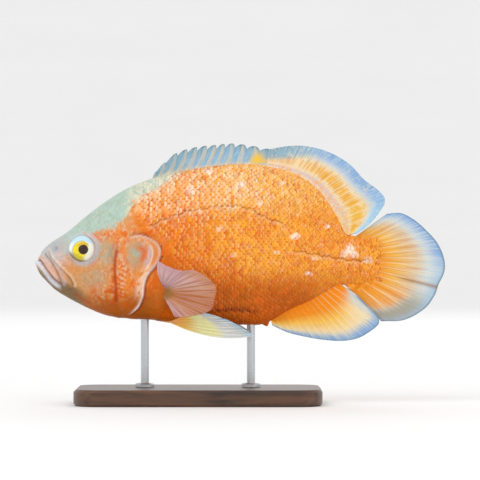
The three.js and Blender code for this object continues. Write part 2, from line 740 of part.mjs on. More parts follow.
add('head', flesh.head, MATERIALS.headSkin);
add('lower_jaw', flesh.lower_jaw, MATERIALS.headSkin);
add('trunk', flesh.trunk, MATERIALS.skin);
add('tail_stalk', flesh.tail_stalk, MATERIALS.skin);
add('dorsal_fin_spiny', rooted(SPINES), MATERIALS.fin);
add('dorsal_fin_soft', rooted(SOFT_DORSAL), MATERIALS.fin);
add('anal_fin', rooted(ANAL_FIN), MATERIALS.warmFin);
add('tail_fin', rooted(TAIL_FIN), MATERIALS.warmFin);
for (const [name, side] of Object.entries(SIDES)) {
  add(`gill_cover_${name}`, gillCover(side), MATERIALS.headSkin);
  add(`eye_${name}`, eyeball(side), MATERIALS.eye);
  add(`pectoral_fin_${name}`, rooted(pectoral(side)), MATERIALS.paleFin);
  add(`pelvic_fin_${name}`, rooted(pelvic(side)), MATERIALS.warmFin);
}
add('stand_base', standBase(), MATERIALS.wood);
for (const [name, along] of Object.entries(ROD_PLACES))
  add(`stand_rod_${name}`, standRod(along, clearance), MATERIALS.steel);

export default oscar;
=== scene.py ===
import math

import bmesh
import bpy
import numpy as np
from mathutils import Matrix, Vector


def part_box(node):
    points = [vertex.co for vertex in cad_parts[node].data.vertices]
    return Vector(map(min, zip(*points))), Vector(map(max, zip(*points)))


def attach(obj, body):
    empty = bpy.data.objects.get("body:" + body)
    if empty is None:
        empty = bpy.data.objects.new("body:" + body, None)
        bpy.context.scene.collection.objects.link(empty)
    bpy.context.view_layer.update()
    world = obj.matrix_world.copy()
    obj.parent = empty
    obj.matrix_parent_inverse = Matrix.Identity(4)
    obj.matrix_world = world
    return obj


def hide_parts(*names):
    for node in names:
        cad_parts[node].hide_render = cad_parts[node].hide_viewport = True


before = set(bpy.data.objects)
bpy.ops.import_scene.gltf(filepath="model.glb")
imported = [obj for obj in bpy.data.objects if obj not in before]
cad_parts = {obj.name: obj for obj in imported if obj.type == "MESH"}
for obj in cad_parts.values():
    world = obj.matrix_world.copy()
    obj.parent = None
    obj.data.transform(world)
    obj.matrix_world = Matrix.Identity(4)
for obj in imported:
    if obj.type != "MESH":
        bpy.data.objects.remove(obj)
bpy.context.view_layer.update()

# An oscar fish, mounted as a museum shows one: a resin cast at life size over a plain wooden base.
# The camera stands level with it, square to the left flank, at the photograph's scale.
MM = 0.001
LENGTH = 250.0  # millimetres, jaw to tail fin
AXIS_UP = 86.5  # the body's long axis above the floor
FRAME_WIDTH = 292.8 * MM  # what the photograph's 480 pixels span at the fish
FRAME_MIDDLE = Vector((-0.2, 0, 99.9)) * MM
CAMERA_DISTANCE = 2.0

camera_data = bpy.data.cameras.new("camera")
camera_data.sensor_width = 36
camera_data.lens = camera_data.sensor_width * CAMERA_DISTANCE / FRAME_WIDTH
camera = bpy.data.objects.new("camera", camera_data)
bpy.context.scene.collection.objects.link(camera)
camera.location = FRAME_MIDDLE + Vector((0, -CAMERA_DISTANCE, 0))
camera.rotation_euler = (math.pi / 2, 0, 0)
bpy.context.scene.camera = camera
bpy.context.scene.view_settings.view_transform = "Standard"


# The floor is a seamless pale studio sweep, curved up all round so that every view has a plain
# ground. It is matt painted board, lit by two large soft boxes and an even white room.
SWEEP_FLAT = 3.2  # metres
SWEEP_RISE = 2.4
SWEEP_HOLE = 0.02  # left by the spin at the middle, and filled
SWEEP_SIDES = 72
SWEEP_BEND_STEPS = 12
BOARD_SPECKS = 3 / (50 * MM)  # three soft specks in 50 mm, as fine as they show from the camera


def linear(hex_colour):
    """An sRGB colour such as #ee9040 as linear red, green and blue."""
    value = np.array([int(hex_colour[i : i + 2], 16) for i in (1, 3, 5)]) / 255
    return np.where(value <= 0.04045, value / 12.92, ((value + 0.055) / 1.055) ** 2.4)


def set_inputs(node, inputs):
    """Sets a node's inputs to values, or links them to sockets."""
    for name, value in inputs.items():
        if isinstance(value, bpy.types.NodeSocket):
            node.id_data.links.new(value, node.inputs[name])
        else:
            node.inputs[name].default_value = value


def add_node(material, kind, inputs=None, **settings):
    """Adds a shader node with its settings and links."""
    node = material.node_tree.nodes.new(kind)
    for name, value in settings.items():
        setattr(node, name, value)
    set_inputs(node, inputs or {})
    return node


def new_material(name):
    """A material whose own shader is ready to be set, as (material, shader)."""
    material = bpy.data.materials.new(name)
    material.use_nodes = True
    return material, material.node_tree.nodes["Principled BSDF"]


def mesh_object(bm, name, material=None):
    """Turns a bmesh into a smooth-shaded object at the origin."""
    mesh = bpy.data.meshes.new(name)
    bm.to_mesh(mesh)
    bm.free()
    mesh.shade_smooth()
    if material:
        mesh.materials.append(material)
    thing = bpy.data.objects.new(name, mesh)
    bpy.context.scene.collection.objects.link(thing)
    return thing


def spun(outline, sides, axis=(0, 0, 1)):
    """A bmesh of an open outline of points, spun once round an axis through the origin."""
    bm = bmesh.new()
    corners = [bm.verts.new(corner) for corner in outline]
    for first, second in zip(corners, corners[1:]):
        bm.edges.new((first, second))
    bmesh.ops.spin(
        bm, geom=bm.verts[:] + bm.edges[:], cent=(0, 0, 0), axis=axis,
        angle=2 * math.pi, steps=sides, use_merge=True,
    )
    return bm


profile = [(SWEEP_HOLE, 0, 0), (SWEEP_FLAT, 0, 0)]
for step in range(1, SWEEP_BEND_STEPS + 1):
    turn = step / SWEEP_BEND_STEPS * math.pi / 2
    profile.append((SWEEP_FLAT + SWEEP_RISE * math.sin(turn), 0, SWEEP_RISE * (1 - math.cos(turn))))
sweep = spun(profile, SWEEP_SIDES)
middle_rim = [edge for edge in sweep.edges if edge.is_boundary and edge.verts[0].co.z < SWEEP_RISE / 2]
bmesh.ops.holes_fill(sweep, edges=middle_rim)
bmesh.ops.recalc_face_normals(sweep, faces=sweep.faces)
painted_board, shader = new_material("painted_board")
speckle = add_node(painted_board, "ShaderNodeTexNoise", {"Scale": BOARD_SPECKS})
board_tone = add_node(
    painted_board, "ShaderNodeMapRange",
    {"Value": speckle.outputs["Fac"], "To Min": 0.93, "To Max": 0.96},
)
set_inputs(shader, {"Base Color": board_tone.outputs["Result"], "Roughness": 0.9})
mesh_object(sweep, "studio_sweep", painted_board)

world = bpy.data.worlds.new("room")
bpy.context.scene.world = world
world.use_nodes = True
set_inputs(world.node_tree.nodes["Background"], {"Color": (1, 1, 1, 1), "Strength": 0.9})


def soft_box(name, place, size, watts):
    """A square area light that points at the fish."""
    light = bpy.data.lights.new(name, "AREA")
    light.size = size
    light.energy = watts
    lamp = bpy.data.objects.new(name, light)
    lamp.location = place
    lamp.rotation_euler = (Vector((0, 0, 0.09)) - lamp.location).to_track_quat("-Z", "Y").to_euler()
    bpy.context.scene.collection.objects.link(lamp)


soft_box("key_light", Vector((-0.9, -1.5, 1.7)), 1.2, 10)
soft_box("fill_light", Vector((1.6, -1.6, 0.7)), 1.4, 2.5)
soft_box("back_light", Vector((0.4, 1.9, 1.5)), 1.2, 6)


# The skin is one moulded surface over head, gill covers, trunk and tail stalk. It is given by its
# outlines from the side and from above, and the flesh's own forms are raised and sunk in it:
# lips, mouth, nostrils, eye sockets, cheek grooves and the free edges of the gill covers.
BODY_END = 206.5
SKIN_SINK = 0.35  # the skin lies this far under the scales' tips


def curve_through(*points):
    """A smooth curve through (position, value) points, as a function of arrays of positions."""
    xs, ys = np.array(points, float).T
    slopes = np.gradient(ys, xs)
    slopes[1:-1] = (ys[2:] - ys[:-2]) / (xs[2:] - xs[:-2])

    def value(x):
        x = np.clip(x, xs[0], xs[-1])
        i = np.clip(np.searchsorted(xs, x, side="right") - 1, 0, len(xs) - 2)
        step = xs[i + 1] - xs[i]
        t = (x - xs[i]) / step
        start = ys[i] * (1 + 2 * t) * (1 - t) ** 2 + slopes[i] * step * t * (1 - t) ** 2
        end = ys[i + 1] * t * t * (3 - 2 * t) - slopes[i + 1] * step * t * t * (1 - t)
        return start + end

    return value


back_line = curve_through(
    (0, -0.6), (0.7, 1.4), (2.6, 4.6), (5.4, 8.1), (10, 12.1), (15, 15.3), (20, 18.6),
    (29.6, 26.8), (44, 37.7), (58, 45.9), (72, 51.3), (90, 55.6), (112, 59), (131, 59.8),
    (149, 57.2), (160, 53.4), (171, 46.2), (179, 36.6), (185, 26.2), (188.5, 18.8),
    (191, 16.6), (195, 15.9), (201, 15), (205, 11.5), (BODY_END, 1),
)
belly_line = curve_through(
    (0, -0.6), (0.6, -2.6), (2.2, -6.2), (5.2, -10.4), (10, -15.2), (15, -18.9), (24.7, -24.4),
    (34.5, -29.2), (45, -33), (56, -34.5), (70, -35.5), (86, -37.4), (104, -38.4), (126, -38.3),
    (137, -38.2), (144, -35.6), (155, -29.2), (168, -23.6), (177, -18.4), (185, -14.6),
    (193, -13.7), (201, -13.9), (205, -10.4), (BODY_END, 1),
)
half_width = curve_through(
    (0, 0), (0.7, 2.9), (2.2, 5), (5, 7.4), (10, 9.8), (20, 12.8), (30, 15.1), (45, 18.2),
    (60, 20.4), (75, 21.2), (92, 21), (112, 19.8), (132, 17.2), (150, 13.8), (168, 10),
    (182, 7.2), (190, 5.6), (196, 4.1), (201, 2.7), (205, 1.5), (BODY_END, 0),
)
flank_line = curve_through(
    (0, -0.6), (8, -1.4), (25, -1), (50, 0), (80, 4), (115, 8), (150, 9), (180, 6), (BODY_END, 1)
)
back_fullness = curve_through((0, 2), (20, 2.2), (60, 1.95), (110, 1.85), (160, 1.8), (BODY_END, 2))
belly_fullness = curve_through((0, 2), (30, 2.1), (70, 2.5), (110, 2.3), (150, 2), (BODY_END, 2))


def body_point(along, angle, outlines=(back_line, belly_line, half_width)):
    """Points of the body as (along, side, up) rows. Angle 0 is the back, and it runs to the right."""
    back, belly, width = outlines
    level = flank_line(along)
    cosine, sine = np.cos(angle), np.sin(angle)
    upper = cosine >= 0
    reach = np.where(upper, back(along) - level, level - belly(along))
    power = 2 / np.where(upper, back_fullness(along), belly_fullness(along))
    side = width(along) * np.sign(sine) * np.abs(sine) ** power
    up = level + reach * np.sign(cosine) * np.abs(cosine) ** power
    return np.stack([along + 0 * angle, side, up], axis=-1)


def flank_side(along, up):
    """Half of the body's width at a place on its flank."""
    level = flank_line(along)
    upper = up >= level
    reach = np.where(upper, back_line(along) - level, level - belly_line(along))
    fullness = np.where(upper, back_fullness(along), belly_fullness(along))
    share = np.clip(np.abs(up - level) / reach, 0, 1)
    return half_width(along) * (1 - share**fullness) ** (1 / fullness)


def in_frame(places):
    """Rows of (along, side, up) in millimetres as the frame's metres."""
    return (places + np.array([-LENGTH / 2, 0, AXIS_UP])) * MM


def ease(value, start, end):
    """0 at the start, 1 at the end, and smooth between them. A start above the end makes it fall."""
    t = np.clip((value - start) / (end - start), 0, 1)
    return t * t * (3 - 2 * t)


def bump(distance, width):
    """1 at no distance, falling off smoothly over about the width."""
    return np.exp(-((distance / width) ** 2))


def mottle(places, grain, seed):
    """Soft noise from 0 to 1 in patches about grain millimetres across."""
    scaled = places / grain
    cell = np.floor(scaled)
    t = scaled - cell
    t = t * t * (3 - 2 * t)
    total = np.zeros(len(places))
    for corner in np.ndindex(2, 2, 2):
        hashed = np.sin((cell + corner) @ np.array([127.1, 311.7, 74.7]) + seed * 17.3) * 43758.5
        weight = np.prod(np.where(np.array(corner) == 1, t, 1 - t), axis=-1)
        total += weight * (hashed - np.floor(hashed))
    return total


def layered(colours, *layers):
    """Lays shades over the colours in turn, each by its own amount at each place."""
    for shade, amount in layers:
        colours = colours + (shade - colours) * np.clip(amount, 0, 1)[..., None]
    return colours


def line_distance(along, up, route):
    """Distance from flank places to a smooth line, with its sign: positive above or outside."""
    route = np.array(route, float)
    steps = np.linspace(0, len(route) - 1, 24 * (len(route) - 1))
    line_x, line_y = (curve_through(*enumerate(values))(steps) for values in route.T)
    nearest = np.full(along.shape, np.inf)
    sign = np.ones(along.shape)
    run_x, run_y = np.gradient(line_x), np.gradient(line_y)
    for x, y, dx, dy in zip(line_x, line_y, run_x, run_y):
        distance = np.hypot(along - x, up - y)
        closer = distance < nearest
        nearest = np.where(closer, distance, nearest)
        sign = np.where(closer, np.sign((up - y) * dx - (along - x) * dy), sign)
    return nearest * sign


MOUTH = [(-1.5, 1.2), (0.6, 1.5), (3.2, 0.9), (6.2, -2.6), (9.3, -6.9), (12.6, -10.8), (16.6, -13.8)]
LIP_FOLD = [(8.6, 6.2), (9.6, 3.4), (12.6, -0.4), (16.8, -5), (21.4, -9.4), (23.6, -13.6)]
LIP_EDGE = [(6.6, 5), (8.4, 2.6), (10.9, -0.6), (14.2, -6.6), (16.6, -12)]
JAW_FOLD = [(3.6, -9.4), (8, -13.2), (13, -16.2), (18.4, -18), (22.8, -16.6)]
CHEEK_FOLD = [(50.4, 6.5), (49.4, 2), (49.2, -6), (49.8, -15), (50, -23.5)]
CHIN_FOLD = [(25, -19.6), (29, -22.4), (34.5, -25.6)]
GILL_EDGE = [
    (50, 12), (56, 14.5), (62, 16.4), (67, 15.9), (72.8, 13.6), (76.4, 9.6), (77.2, 4.8), (74.5, -1.4),
    (69.4, -7.9), (67.2, -14), (66.2, -21.6), (63, -27.8), (57.5, -31.8), (50, -32),
]
INNER_GILL_EDGE = [(63, 13.6), (68.4, 11.8), (71.4, 8), (71.4, 3), (69, -2.4), (65.6, -8), (64, -14)]
EYE = {"along": 29.6, "up": 7.6, "radius": 8.6, "depth": 4.8, "sunk": 2.2}
NOSTRIL = (13.4, 8.2)
HEAD_REACH = 90  # the lines above all lie in front of this


def gill_wrinkles(along, up):
    """The short slanting wrinkles behind the cheek groove, from -1 to 1."""
    waves = np.sin(up * 2.3 + along * 0.9 + 1.6 * np.sin(up * 0.37))
    return waves * bump(along - 53.6, 3.4) * bump(up + 9, 15)


def eye_distance(along, up):
    """Distance from the middle of the eye's socket."""
    return np.hypot(along - EYE["along"] + 0.1, up - EYE["up"] - 0.5)


def relief(along, up):
    """How far the skin stands out of the plain body, in millimetres, at places on its flank."""
    height = np.zeros(along.shape)
    head = along < HEAD_REACH
    a, u = along[head], up[head]
    places = np.stack([a, 0 * a, u], -1)
    lips = ease(a, 17.5, 13.5)
    mouth = line_distance(a, u, MOUTH)
    rise = lips * (bump(mouth - 1.7, 1.35) + 0.8 * bump(mouth + 1.6, 1.15))
    rise -= 1.3 * bump(mouth, 0.42) * ease(a, 17.5, 15.5)
    rise -= 1.7 * bump(a - 1.2, 2.6) * bump(u - 3.6, 2.2) + 0.9 * bump(a - 2, 2.4) * bump(mouth, 0.9)
    fold = line_distance(a, u, LIP_FOLD)
    rise += 0.35 * bump(fold + 1.4, 1.1) - 0.55 * bump(fold, 0.55)
    rise -= 0.4 * bump(line_distance(a, u, LIP_EDGE), 0.5) * ease(a, 18, 15)
    rise -= 0.45 * bump(line_distance(a, u, JAW_FOLD), 0.6)
    cheek = line_distance(a, u, CHEEK_FOLD)
    rise += 0.45 * bump(cheek + 1.8, 1.6) - 0.75 * bump(cheek, 0.75) + 0.24 * gill_wrinkles(a, u)
    soft = mottle(places, 3.4, 6) - 0.5
    rise += 0.5 * soft * ease(a, 30, 40) * ease(a, 78, 70) * ease(u, 16, 6)
    rise -= 0.4 * bump(line_distance(a, u, CHIN_FOLD), 0.8)
    gill = line_distance(a, u, GILL_EDGE) + 1.1 * (mottle(places, 4.5, 7) - 0.5)
    behind = ease(a, 51, 57) * ease(gill, 6, 2.4)
    rise += behind * (0.95 * ease(gill, 0.25, -0.35) - 0.5 * bump(gill - 0.8, 0.9))
    rise += 0.3 * bump(gill + 0.8, 0.7) * ease(a, 56, 62)
    inner = line_distance(a, u, INNER_GILL_EDGE)
    rise += 0.2 * bump(inner + 1.4, 0.9) - 0.35 * bump(inner, 0.6)
    from_eye = eye_distance(a, u)
    rise += 0.7 * bump(from_eye - 8.4, 0.9) - 0.2 * bump(from_eye - 10.6, 0.7)
    rise -= 3.2 * ease(from_eye, 7.9, 6.8)
    from_nostril = np.hypot(a - NOSTRIL[0], u - NOSTRIL[1])
    rise += 0.3 * bump(from_nostril - 1.2, 0.45) - 0.6 * bump(from_nostril, 0.6)
    height[head] = rise
    return height


# The skin's colours and markings, which the scales take too, with shade and highlights painted in at its
# creases, lips and eyes.
FLANK = linear("#f18a1a")
DEEP_ORANGE = linear("#e0620a")
GOLD_FLANK = linear("#f8a52e")
GOLD_BACK = linear("#f4ae46")
CREAM = linear("#fdebcb")
SPOT_WHITE = linear("#fbf1e4")
RIM_GOLD = linear("#fbbf62")
BURNT_BELLY = linear("#ba5804")
SAGE_BROW = linear("#b0c8ba")
SNOUT_GREY = linear("#bcbcc0")
CHEEK_TAN = linear("#d59a62")
CHEEK_GREY = linear("#b9a684")
COVER_ORANGE = linear("#e88a38")
# Dark red: painted shade in creases, folds and under edges, and the dark streaks of the fins and the lateral
# line.
SHADE_AND_STREAK_RED = linear("#b34310")
# Dark olive: painted shade under the lower jaw and in the folds behind the upper lip.
JAW_SHADE_OLIVE = linear("#846a48")
THROAT_BROWN = linear("#ae5a14")
LIP_PINK = linear("#dcb7a8")
# Pale blue: a painted highlight along the lower lip and a painted sheen over the top of the eye's rim.
SHEEN_BLUE = linear("#dde2ec")
LIP_LILAC = linear("#cfc0c6")
RIM_PINK = linear("#f4dccf")
GREY_GREEN = linear("#a6b3a0")
ORBIT_GREY = linear("#b4b9bd")
NOSTRIL_BLUE = linear("#9c9daa")
PALE_SPOTS = [  # along, up and radius
    (94.3, 43.3, 2.8), (105.2, 55, 3.2), (124.4, 46.4, 3.2), (149.8, 48, 2.4), (157.7, 16, 2.8),
    (191, 10, 2.6), (188.6, 5, 3.4), (193.8, 4.8, 3.4), (191.2, 6.8, 3.6), (169.3, 2, 2), (166, -7, 2),
    (202.6, 1.4, 3.2), (112, 20, 1.6), (100, 30, 1.8), (136, 36, 2.2), (146, 6, 1.6), (178, 22, 2.2),
    (120, 4, 1.4),
]
LATERAL_LINE = [(70, 22), (84, 28), (99, 32), (124, 34), (141, 27), (150, 24)]
REAR_LINE = [(158, 7), (175, 4), (192, 1.2), (204, 1.5)]
BELLY_FOLD = [(103, -30.6), (112, -29.4), (122, -29), (133, -30.4)]
BROW_LINE = [
    (0, 1), (14, 2), (24, 3), (30, 14), (38, 18.5), (46, 19.5), (51, 21), (55, 25), (60, 35), (75, 44),
    (90, 54),
]


def flesh_paint(places):
    """The skin's colour at rows of (along, side, up), as linear red, green and blue, with light and shade
    painted in.
    """
    along, up = places[:, 0], places[:, 2]
    broad, medium = mottle(places, 17, 1), mottle(places, 6, 2)
    fine, grit = mottle(places, 2.2, 3), mottle(places, 1.1, 4)
    speckle = 0.5 * fine + 0.5 * grit
    ragged = 8 * (medium - 0.5) + 10 * (fine - 0.5) + 6 * (grit - 0.5)
    low = 0.5 * ragged - up

    def patch(at_along, at_up, length, height):
        """1 in the middle of a soft oval, falling off over its half length and half height."""
        return bump(along - at_along, length) * bump(up - at_up, height)

    def near(route, width, shift=0.0):
        """1 on a line of the head, or beside it by the shift, falling off over the width."""
        amount = np.zeros(len(along))
        head = along < HEAD_REACH
        amount[head] = bump(line_distance(along[head], up[head], route) - shift, width)
        return amount

    upper_cream = ease(fine, 0.5, 0.75) * ease(medium, 0.35, 0.6) * ease(up, 26, 42)
    colour = layered(
        np.tile(FLANK, (len(places), 1)),
        (GOLD_FLANK, 0.9 * ease(along + 0.5 * up + 1.5 * ragged, 90, 126)),
        (DEEP_ORANGE, 0.8 * ease(0.45 * broad + 0.55 * fine, 0.45, 0.68) * (1 - 0.75 * ease(up, 22, 40))
         * (1 - 0.35 * ease(along, 120, 150))),
        (GOLD_BACK, ease(up + ragged, 20, 46)),
        (CREAM, 0.75 * upper_cream * (1 - 0.6 * ease(up, 40, 48)) * ease(along, 170, 110)),
        (DEEP_ORANGE, 0.45 * ease(along, 128, 98) * ease(up + ragged, 38, 22)),
        (FLANK, 0.75 * ease(along, 120, 90) * ease(up, 26, 36)),
        (CREAM, 0.25 * ease(speckle, 0.6, 0.75)),
        (BURNT_BELLY, 0.95 * ease(low, 0, 21) * ease(along, 188, 156)),
        # Darker orange under the belly by the anal fin and low on the rear body: painted shade.
        (DEEP_ORANGE, 0.6 * ease(low, 22, 34) * bump(along - 140, 16)),
        (DEEP_ORANGE * 0.8, 0.3 * ease(-up, 1, 10) * ease(along, 126, 143)),
    )
    for spot_along, spot_up, size in PALE_SPOTS:
        apart = np.hypot(along - spot_along, (up - spot_up) * 1.3) + 2.4 * (fine - 0.5)
        colour = layered(colour, (SPOT_WHITE, 0.8 * ease(apart, size * 1.1, size * 0.6)))

    head = ease(along + 0.4 * ragged, 64, 56)
    brow = up - np.interp(along, *zip(*BROW_LINE))
    sage = ease(brow + 0.5 * ragged, -1, 3) * ease(along + ragged - 16 * ease(up, 38, 50), 82, 60)
    colour = layered(
        colour,
        (CHEEK_TAN, 0.85 * head),
        (COVER_ORANGE, ease(along + 0.5 * ragged, 38, 50) * ease(along, 80, 70) * ease(up, 26, 14)),
        (DEEP_ORANGE, 0.85 * ease(speckle + 0.3 * (medium - 0.5), 0.48, 0.6) * ease(along, 30, 38)
         * ease(along, 80, 74) * ease(up, 26, 16)),
        (CREAM, 0.4 * ease(0.35 * fine + 0.65 * (1 - grit), 0.5, 0.7) * head * ease(along, 33, 42)),
        (CHEEK_GREY, 0.9 * patch(36, -8.5, 9, 6.5) * ease(speckle, 0.22, 0.45)),
        (THROAT_BROWN, 0.9 * ease(0.12 * along + 0.4 * ragged - up, 21, 32) * ease(along, 84, 66)),
        (DEEP_ORANGE, 0.5 * patch(52, -22, 9, 7) * ease(fine, 0.3, 0.6)),
        # Olive under the jaw: painted shade.
        (JAW_SHADE_OLIVE, ease(-up - 0.5 * along, 0.5, 5) * ease(along, 36, 24)),
        (SAGE_BROW, sage),
        (GREY_GREEN, 0.6 * sage * ease(speckle, 0.5, 0.7)),
        (CREAM, 0.35 * sage * ease(1 - grit, 0.6, 0.85)),
        (CREAM, 0.6 * ease(fine, 0.45, 0.65) * (1 - 0.6 * ease(up, 38, 46)) * ease(brow, -9, 3)
         * ease(along, 52, 60) * ease(along, 98, 84)),
        (SNOUT_GREY, 0.75 * ease(along, 26, 12) * ease(up, -6, 2)),
        (COVER_ORANGE, 0.45 * patch(21, 5, 4, 6) * ease(speckle, 0.35, 0.6)),
        (COVER_ORANGE, 0.5 * patch(27, -4.5, 9, 3) * ease(speckle, 0.35, 0.6)),
        (LIP_PINK, 0.6 * ease(speckle, 0.45, 0.6) * patch(15, 3, 7, 7)),
        (CHEEK_GREY, patch(44.5, 6.5, 5, 6.5) * ease(speckle, 0.1, 0.35)),
        (GREY_GREEN, 0.6 * patch(44.5, 6.5, 5, 6.5) * ease(fine, 0.3, 0.6)),
        (CHEEK_GREY, patch(62, 5, 5.6, 8) * ease(speckle, 0.15, 0.4)),
        (GREY_GREEN, 0.6 * patch(62.5, 5.5, 5.5, 7) * ease(fine, 0.25, 0.5)),
    )

    lips = ease(along, 17.5, 13.5)
    gill_rear = ease(along, 56, 62)
    gill_low = ease(up, 3, -5)
    colour = layered(
        colour,
        # Pale on the gill wrinkles' crests and dark red in their troughs: painted light and shade.
        (CREAM, 0.32 * ease(gill_wrinkles(along, up), 0.3, 0.8)),
        (SHADE_AND_STREAK_RED, 0.45 * ease(-gill_wrinkles(along, up), 0.25, 0.8)),
        # Dark red in and beside the cheek groove: painted shade.
        (SHADE_AND_STREAK_RED, 0.85 * near(CHEEK_FOLD, 1.0)),
        (SHADE_AND_STREAK_RED, 0.35 * ease(fine, 0.3, 0.6) * near(CHEEK_FOLD, 2.4, -2.6)),
        (LIP_PINK, 0.9 * lips * near(MOUTH, 1.9, 1.7)),
        # Pale blue below the mouth: a painted highlight on the lower lip.
        (SHEEN_BLUE, 0.85 * lips * near(MOUTH, 1.5, -1.7)),
        # A dark line along the mouth's slit: painted shade.
        (SHADE_AND_STREAK_RED * 0.6, 0.7 * lips * near(MOUTH, 0.4)),
        # Olive along the folds behind the upper lip: painted shade.
        (JAW_SHADE_OLIVE, 0.7 * near(LIP_FOLD, 0.6)),
        (JAW_SHADE_OLIVE, 0.75 * ease(along, 18, 15) * near(LIP_EDGE, 0.5)),
        (LIP_LILAC, 0.5 * near(LIP_EDGE, 1.4, 1.8)),
        (CREAM, 0.35 * near(LIP_FOLD, 0.8, 1.3)),
        # Dark red along the chin fold: painted shade.
        (SHADE_AND_STREAK_RED, 0.45 * near(CHIN_FOLD, 1.1)),
        (CHEEK_TAN, 0.6 * patch(74, 8, 3.4, 6)),
        (RIM_PINK, 0.95 * gill_rear * (0.65 + 0.35 * gill_low) * near(GILL_EDGE, 0.9, -0.6)),
        (CREAM, 0.6 * gill_low * ease(speckle, 0.3, 0.6) * ease(up, -26, -16) * near(GILL_EDGE, 2.4, -3)),
        # Dark red just outside the gill cover's free edge: its painted shadow on the body.
        (SHADE_AND_STREAK_RED * 0.7, 0.8 * gill_rear * near(GILL_EDGE, 0.7, 0.7)),
        (LIP_LILAC, 0.8 * ease(up, -5, 1) * ease(along, 64, 69) * ease(speckle, 0.2, 0.55)
         * near(INNER_GILL_EDGE, 1.9, -1.7)),
        (CREAM, 0.6 * ease(up, -12, -6) * ease(speckle, 0.2, 0.5) * near(INNER_GILL_EDGE, 0.5, 0.3)),
        (DEEP_ORANGE, 0.8 * ease(up, -2, 3) * ease(along, 60, 65) * near(INNER_GILL_EDGE, 1.8, -4.8)),
    )

    above_eye = up - EYE["up"]
    from_eye = eye_distance(along, up)
    behind_eye = ease(along - EYE["along"] - 0.8 * above_eye, -6, 8)
    from_nostril = np.hypot(along - NOSTRIL[0], up - NOSTRIL[1])
    fold = line_distance(along, up, BELLY_FOLD)
    colour = layered(
        colour,
        (ORBIT_GREY, (0.35 + 0.55 * behind_eye) * bump(from_eye - 9, 1.6)),
        # Pale blue over the top of the eye's rim: painted sheen.
        (SHEEN_BLUE, 0.3 * bump(from_eye - 8.8, 1.6) * ease(above_eye, 2, 7)),
        # Dark grey in the gap round the eye, fading out on top: painted shade.
        (ORBIT_GREY * 0.5, 0.8 * ease(from_eye, 7.6, 6.8) * (1 - 0.8 * ease(above_eye, 0, 5))),
        (NOSTRIL_BLUE, 0.4 * bump(from_nostril, 3) + 0.35 * bump(from_nostril, 0.9)),
        # Dark red along the belly fold above the belly fins: painted shade.
        (SHADE_AND_STREAK_RED * 0.5, 0.9 * bump(fold, 1) + 0.35 * bump(fold - 1.6, 1.6)),
    )
    return colour * (1 + (0.1 + 0.14 * head) * (grit - 0.5))[:, None]


def line_marks(colours, along, up):
    """The lateral line: a thin dark seam with a pale lower lip, broken in two as in all cichlids."""
    for route in (LATERAL_LINE, REAR_LINE):
        line = line_distance(along, up + 0.5 * np.sin(along * 0.8) + 0.3 * np.sin(along * 2.1), route)
        colours = layered(
            colours, (CREAM, 0.2 * bump(line + 1.4, 0.6)), (SHADE_AND_STREAK_RED * 0.5, 0.75 * bump(line, 0.42))
        )
    return colours


def set_paint(piece, colours):
    """Stores a colour for each vertex, which the piece's material reads."""
    attribute = piece.data.attributes.new("paint", "FLOAT_COLOR", "POINT")
    rgba = np.ones((len(colours), 4), np.float32)
    rgba[:, :3] = colours
    attribute.data.foreach_set("color", rgba.ravel())


def vertex_places(mesh):
    """A mesh's vertices, as rows of x, y and z."""
    places = np.empty(len(mesh.vertices) * 3, np.float32)
    mesh.vertices.foreach_get("co", places)
    return places.reshape(-1, 3).astype(float)


def set_places(mesh, places):
    """Moves a mesh's vertices to rows of x, y and z."""
    mesh.vertices.foreach_set("co", places.astype(np.float32).ravel())
    mesh.update()


def bake_map(mesh, u, v):
    """Gives the mesh the UV map that its colours are baked on, from a value for each vertex."""
    layer = mesh.uv_layers.new(name="OFBake")
    corners = np.empty(len(mesh.loops), np.int32)
    mesh.loops.foreach_get("vertex_index", corners)
    layer.data.foreach_set("uv", np.stack([u[corners], v[corners]], -1).astype(np.float32).ravel())


def surface_normals(grid):
    """Outward unit normals of a grid of body points."""
    rings, turns = np.gradient(grid, axis=0), np.gradient(grid, axis=1)
    across = np.cross(rings, turns)
    return across / np.maximum(np.linalg.norm(across, axis=-1, keepdims=True), 1e-9)


VENT_ALONG = 140.6
VENT_HEIGHT = 2.6
SKIN_RINGS = 384
SKIN_TURNS = 236
ring_spacing = curve_through((0, 0), (0.04, 1.2), (0.12, 8), (0.55, 82), (1, BODY_END))

bm = bmesh.new()
bmesh.ops.create_grid(bm, x_segments=SKIN_RINGS, y_segments=SKIN_TURNS, size=1)
skin = mesh_object(bm, "skin")
unit = vertex_places(skin.data)
ring = np.rint((unit[:, 0] + 1) / 2 * SKIN_RINGS).astype(int)
turn = np.rint((unit[:, 1] + 1) / 2 * SKIN_TURNS).astype(int)
ring_along = ring_spacing(np.linspace(0, 1, SKIN_RINGS + 1))
turn_angle = np.linspace(-math.pi, math.pi, SKIN_TURNS + 1)
plain_body = body_point(*np.meshgrid(ring_along, turn_angle, indexing="ij"))
normals = surface_normals(plain_body)
raised = relief(plain_body[..., 0].ravel(), plain_body[..., 2].ravel()).reshape(plain_body.shape[:2])
raised *= ease(np.abs(plain_body[..., 1]), -1, 2.5) * 0.5 + 0.5
vent = bump(plain_body[..., 0] - VENT_ALONG, 1.7) * bump(plain_body[..., 1], 1.6)
raised += VENT_HEIGHT * vent * (plain_body[..., 2] < 0)
grain = mottle(plain_body.reshape(-1, 3), 1.1, 9).reshape(raised.shape) - 0.5
tips = ease(ring_along, 0, 2) * ease(ring_along, 206, 200)
sink = SKIN_SINK * ease(ring_along, 56, 70)
lift = raised + (0.12 * grain - sink[:, None]) * tips[:, None]
formed = plain_body + normals * lift[..., None]
formed[[0, -1]] = plain_body[[0, -1]].mean(axis=1, keepdims=True)
formed[:, 0] = formed[:, -1]
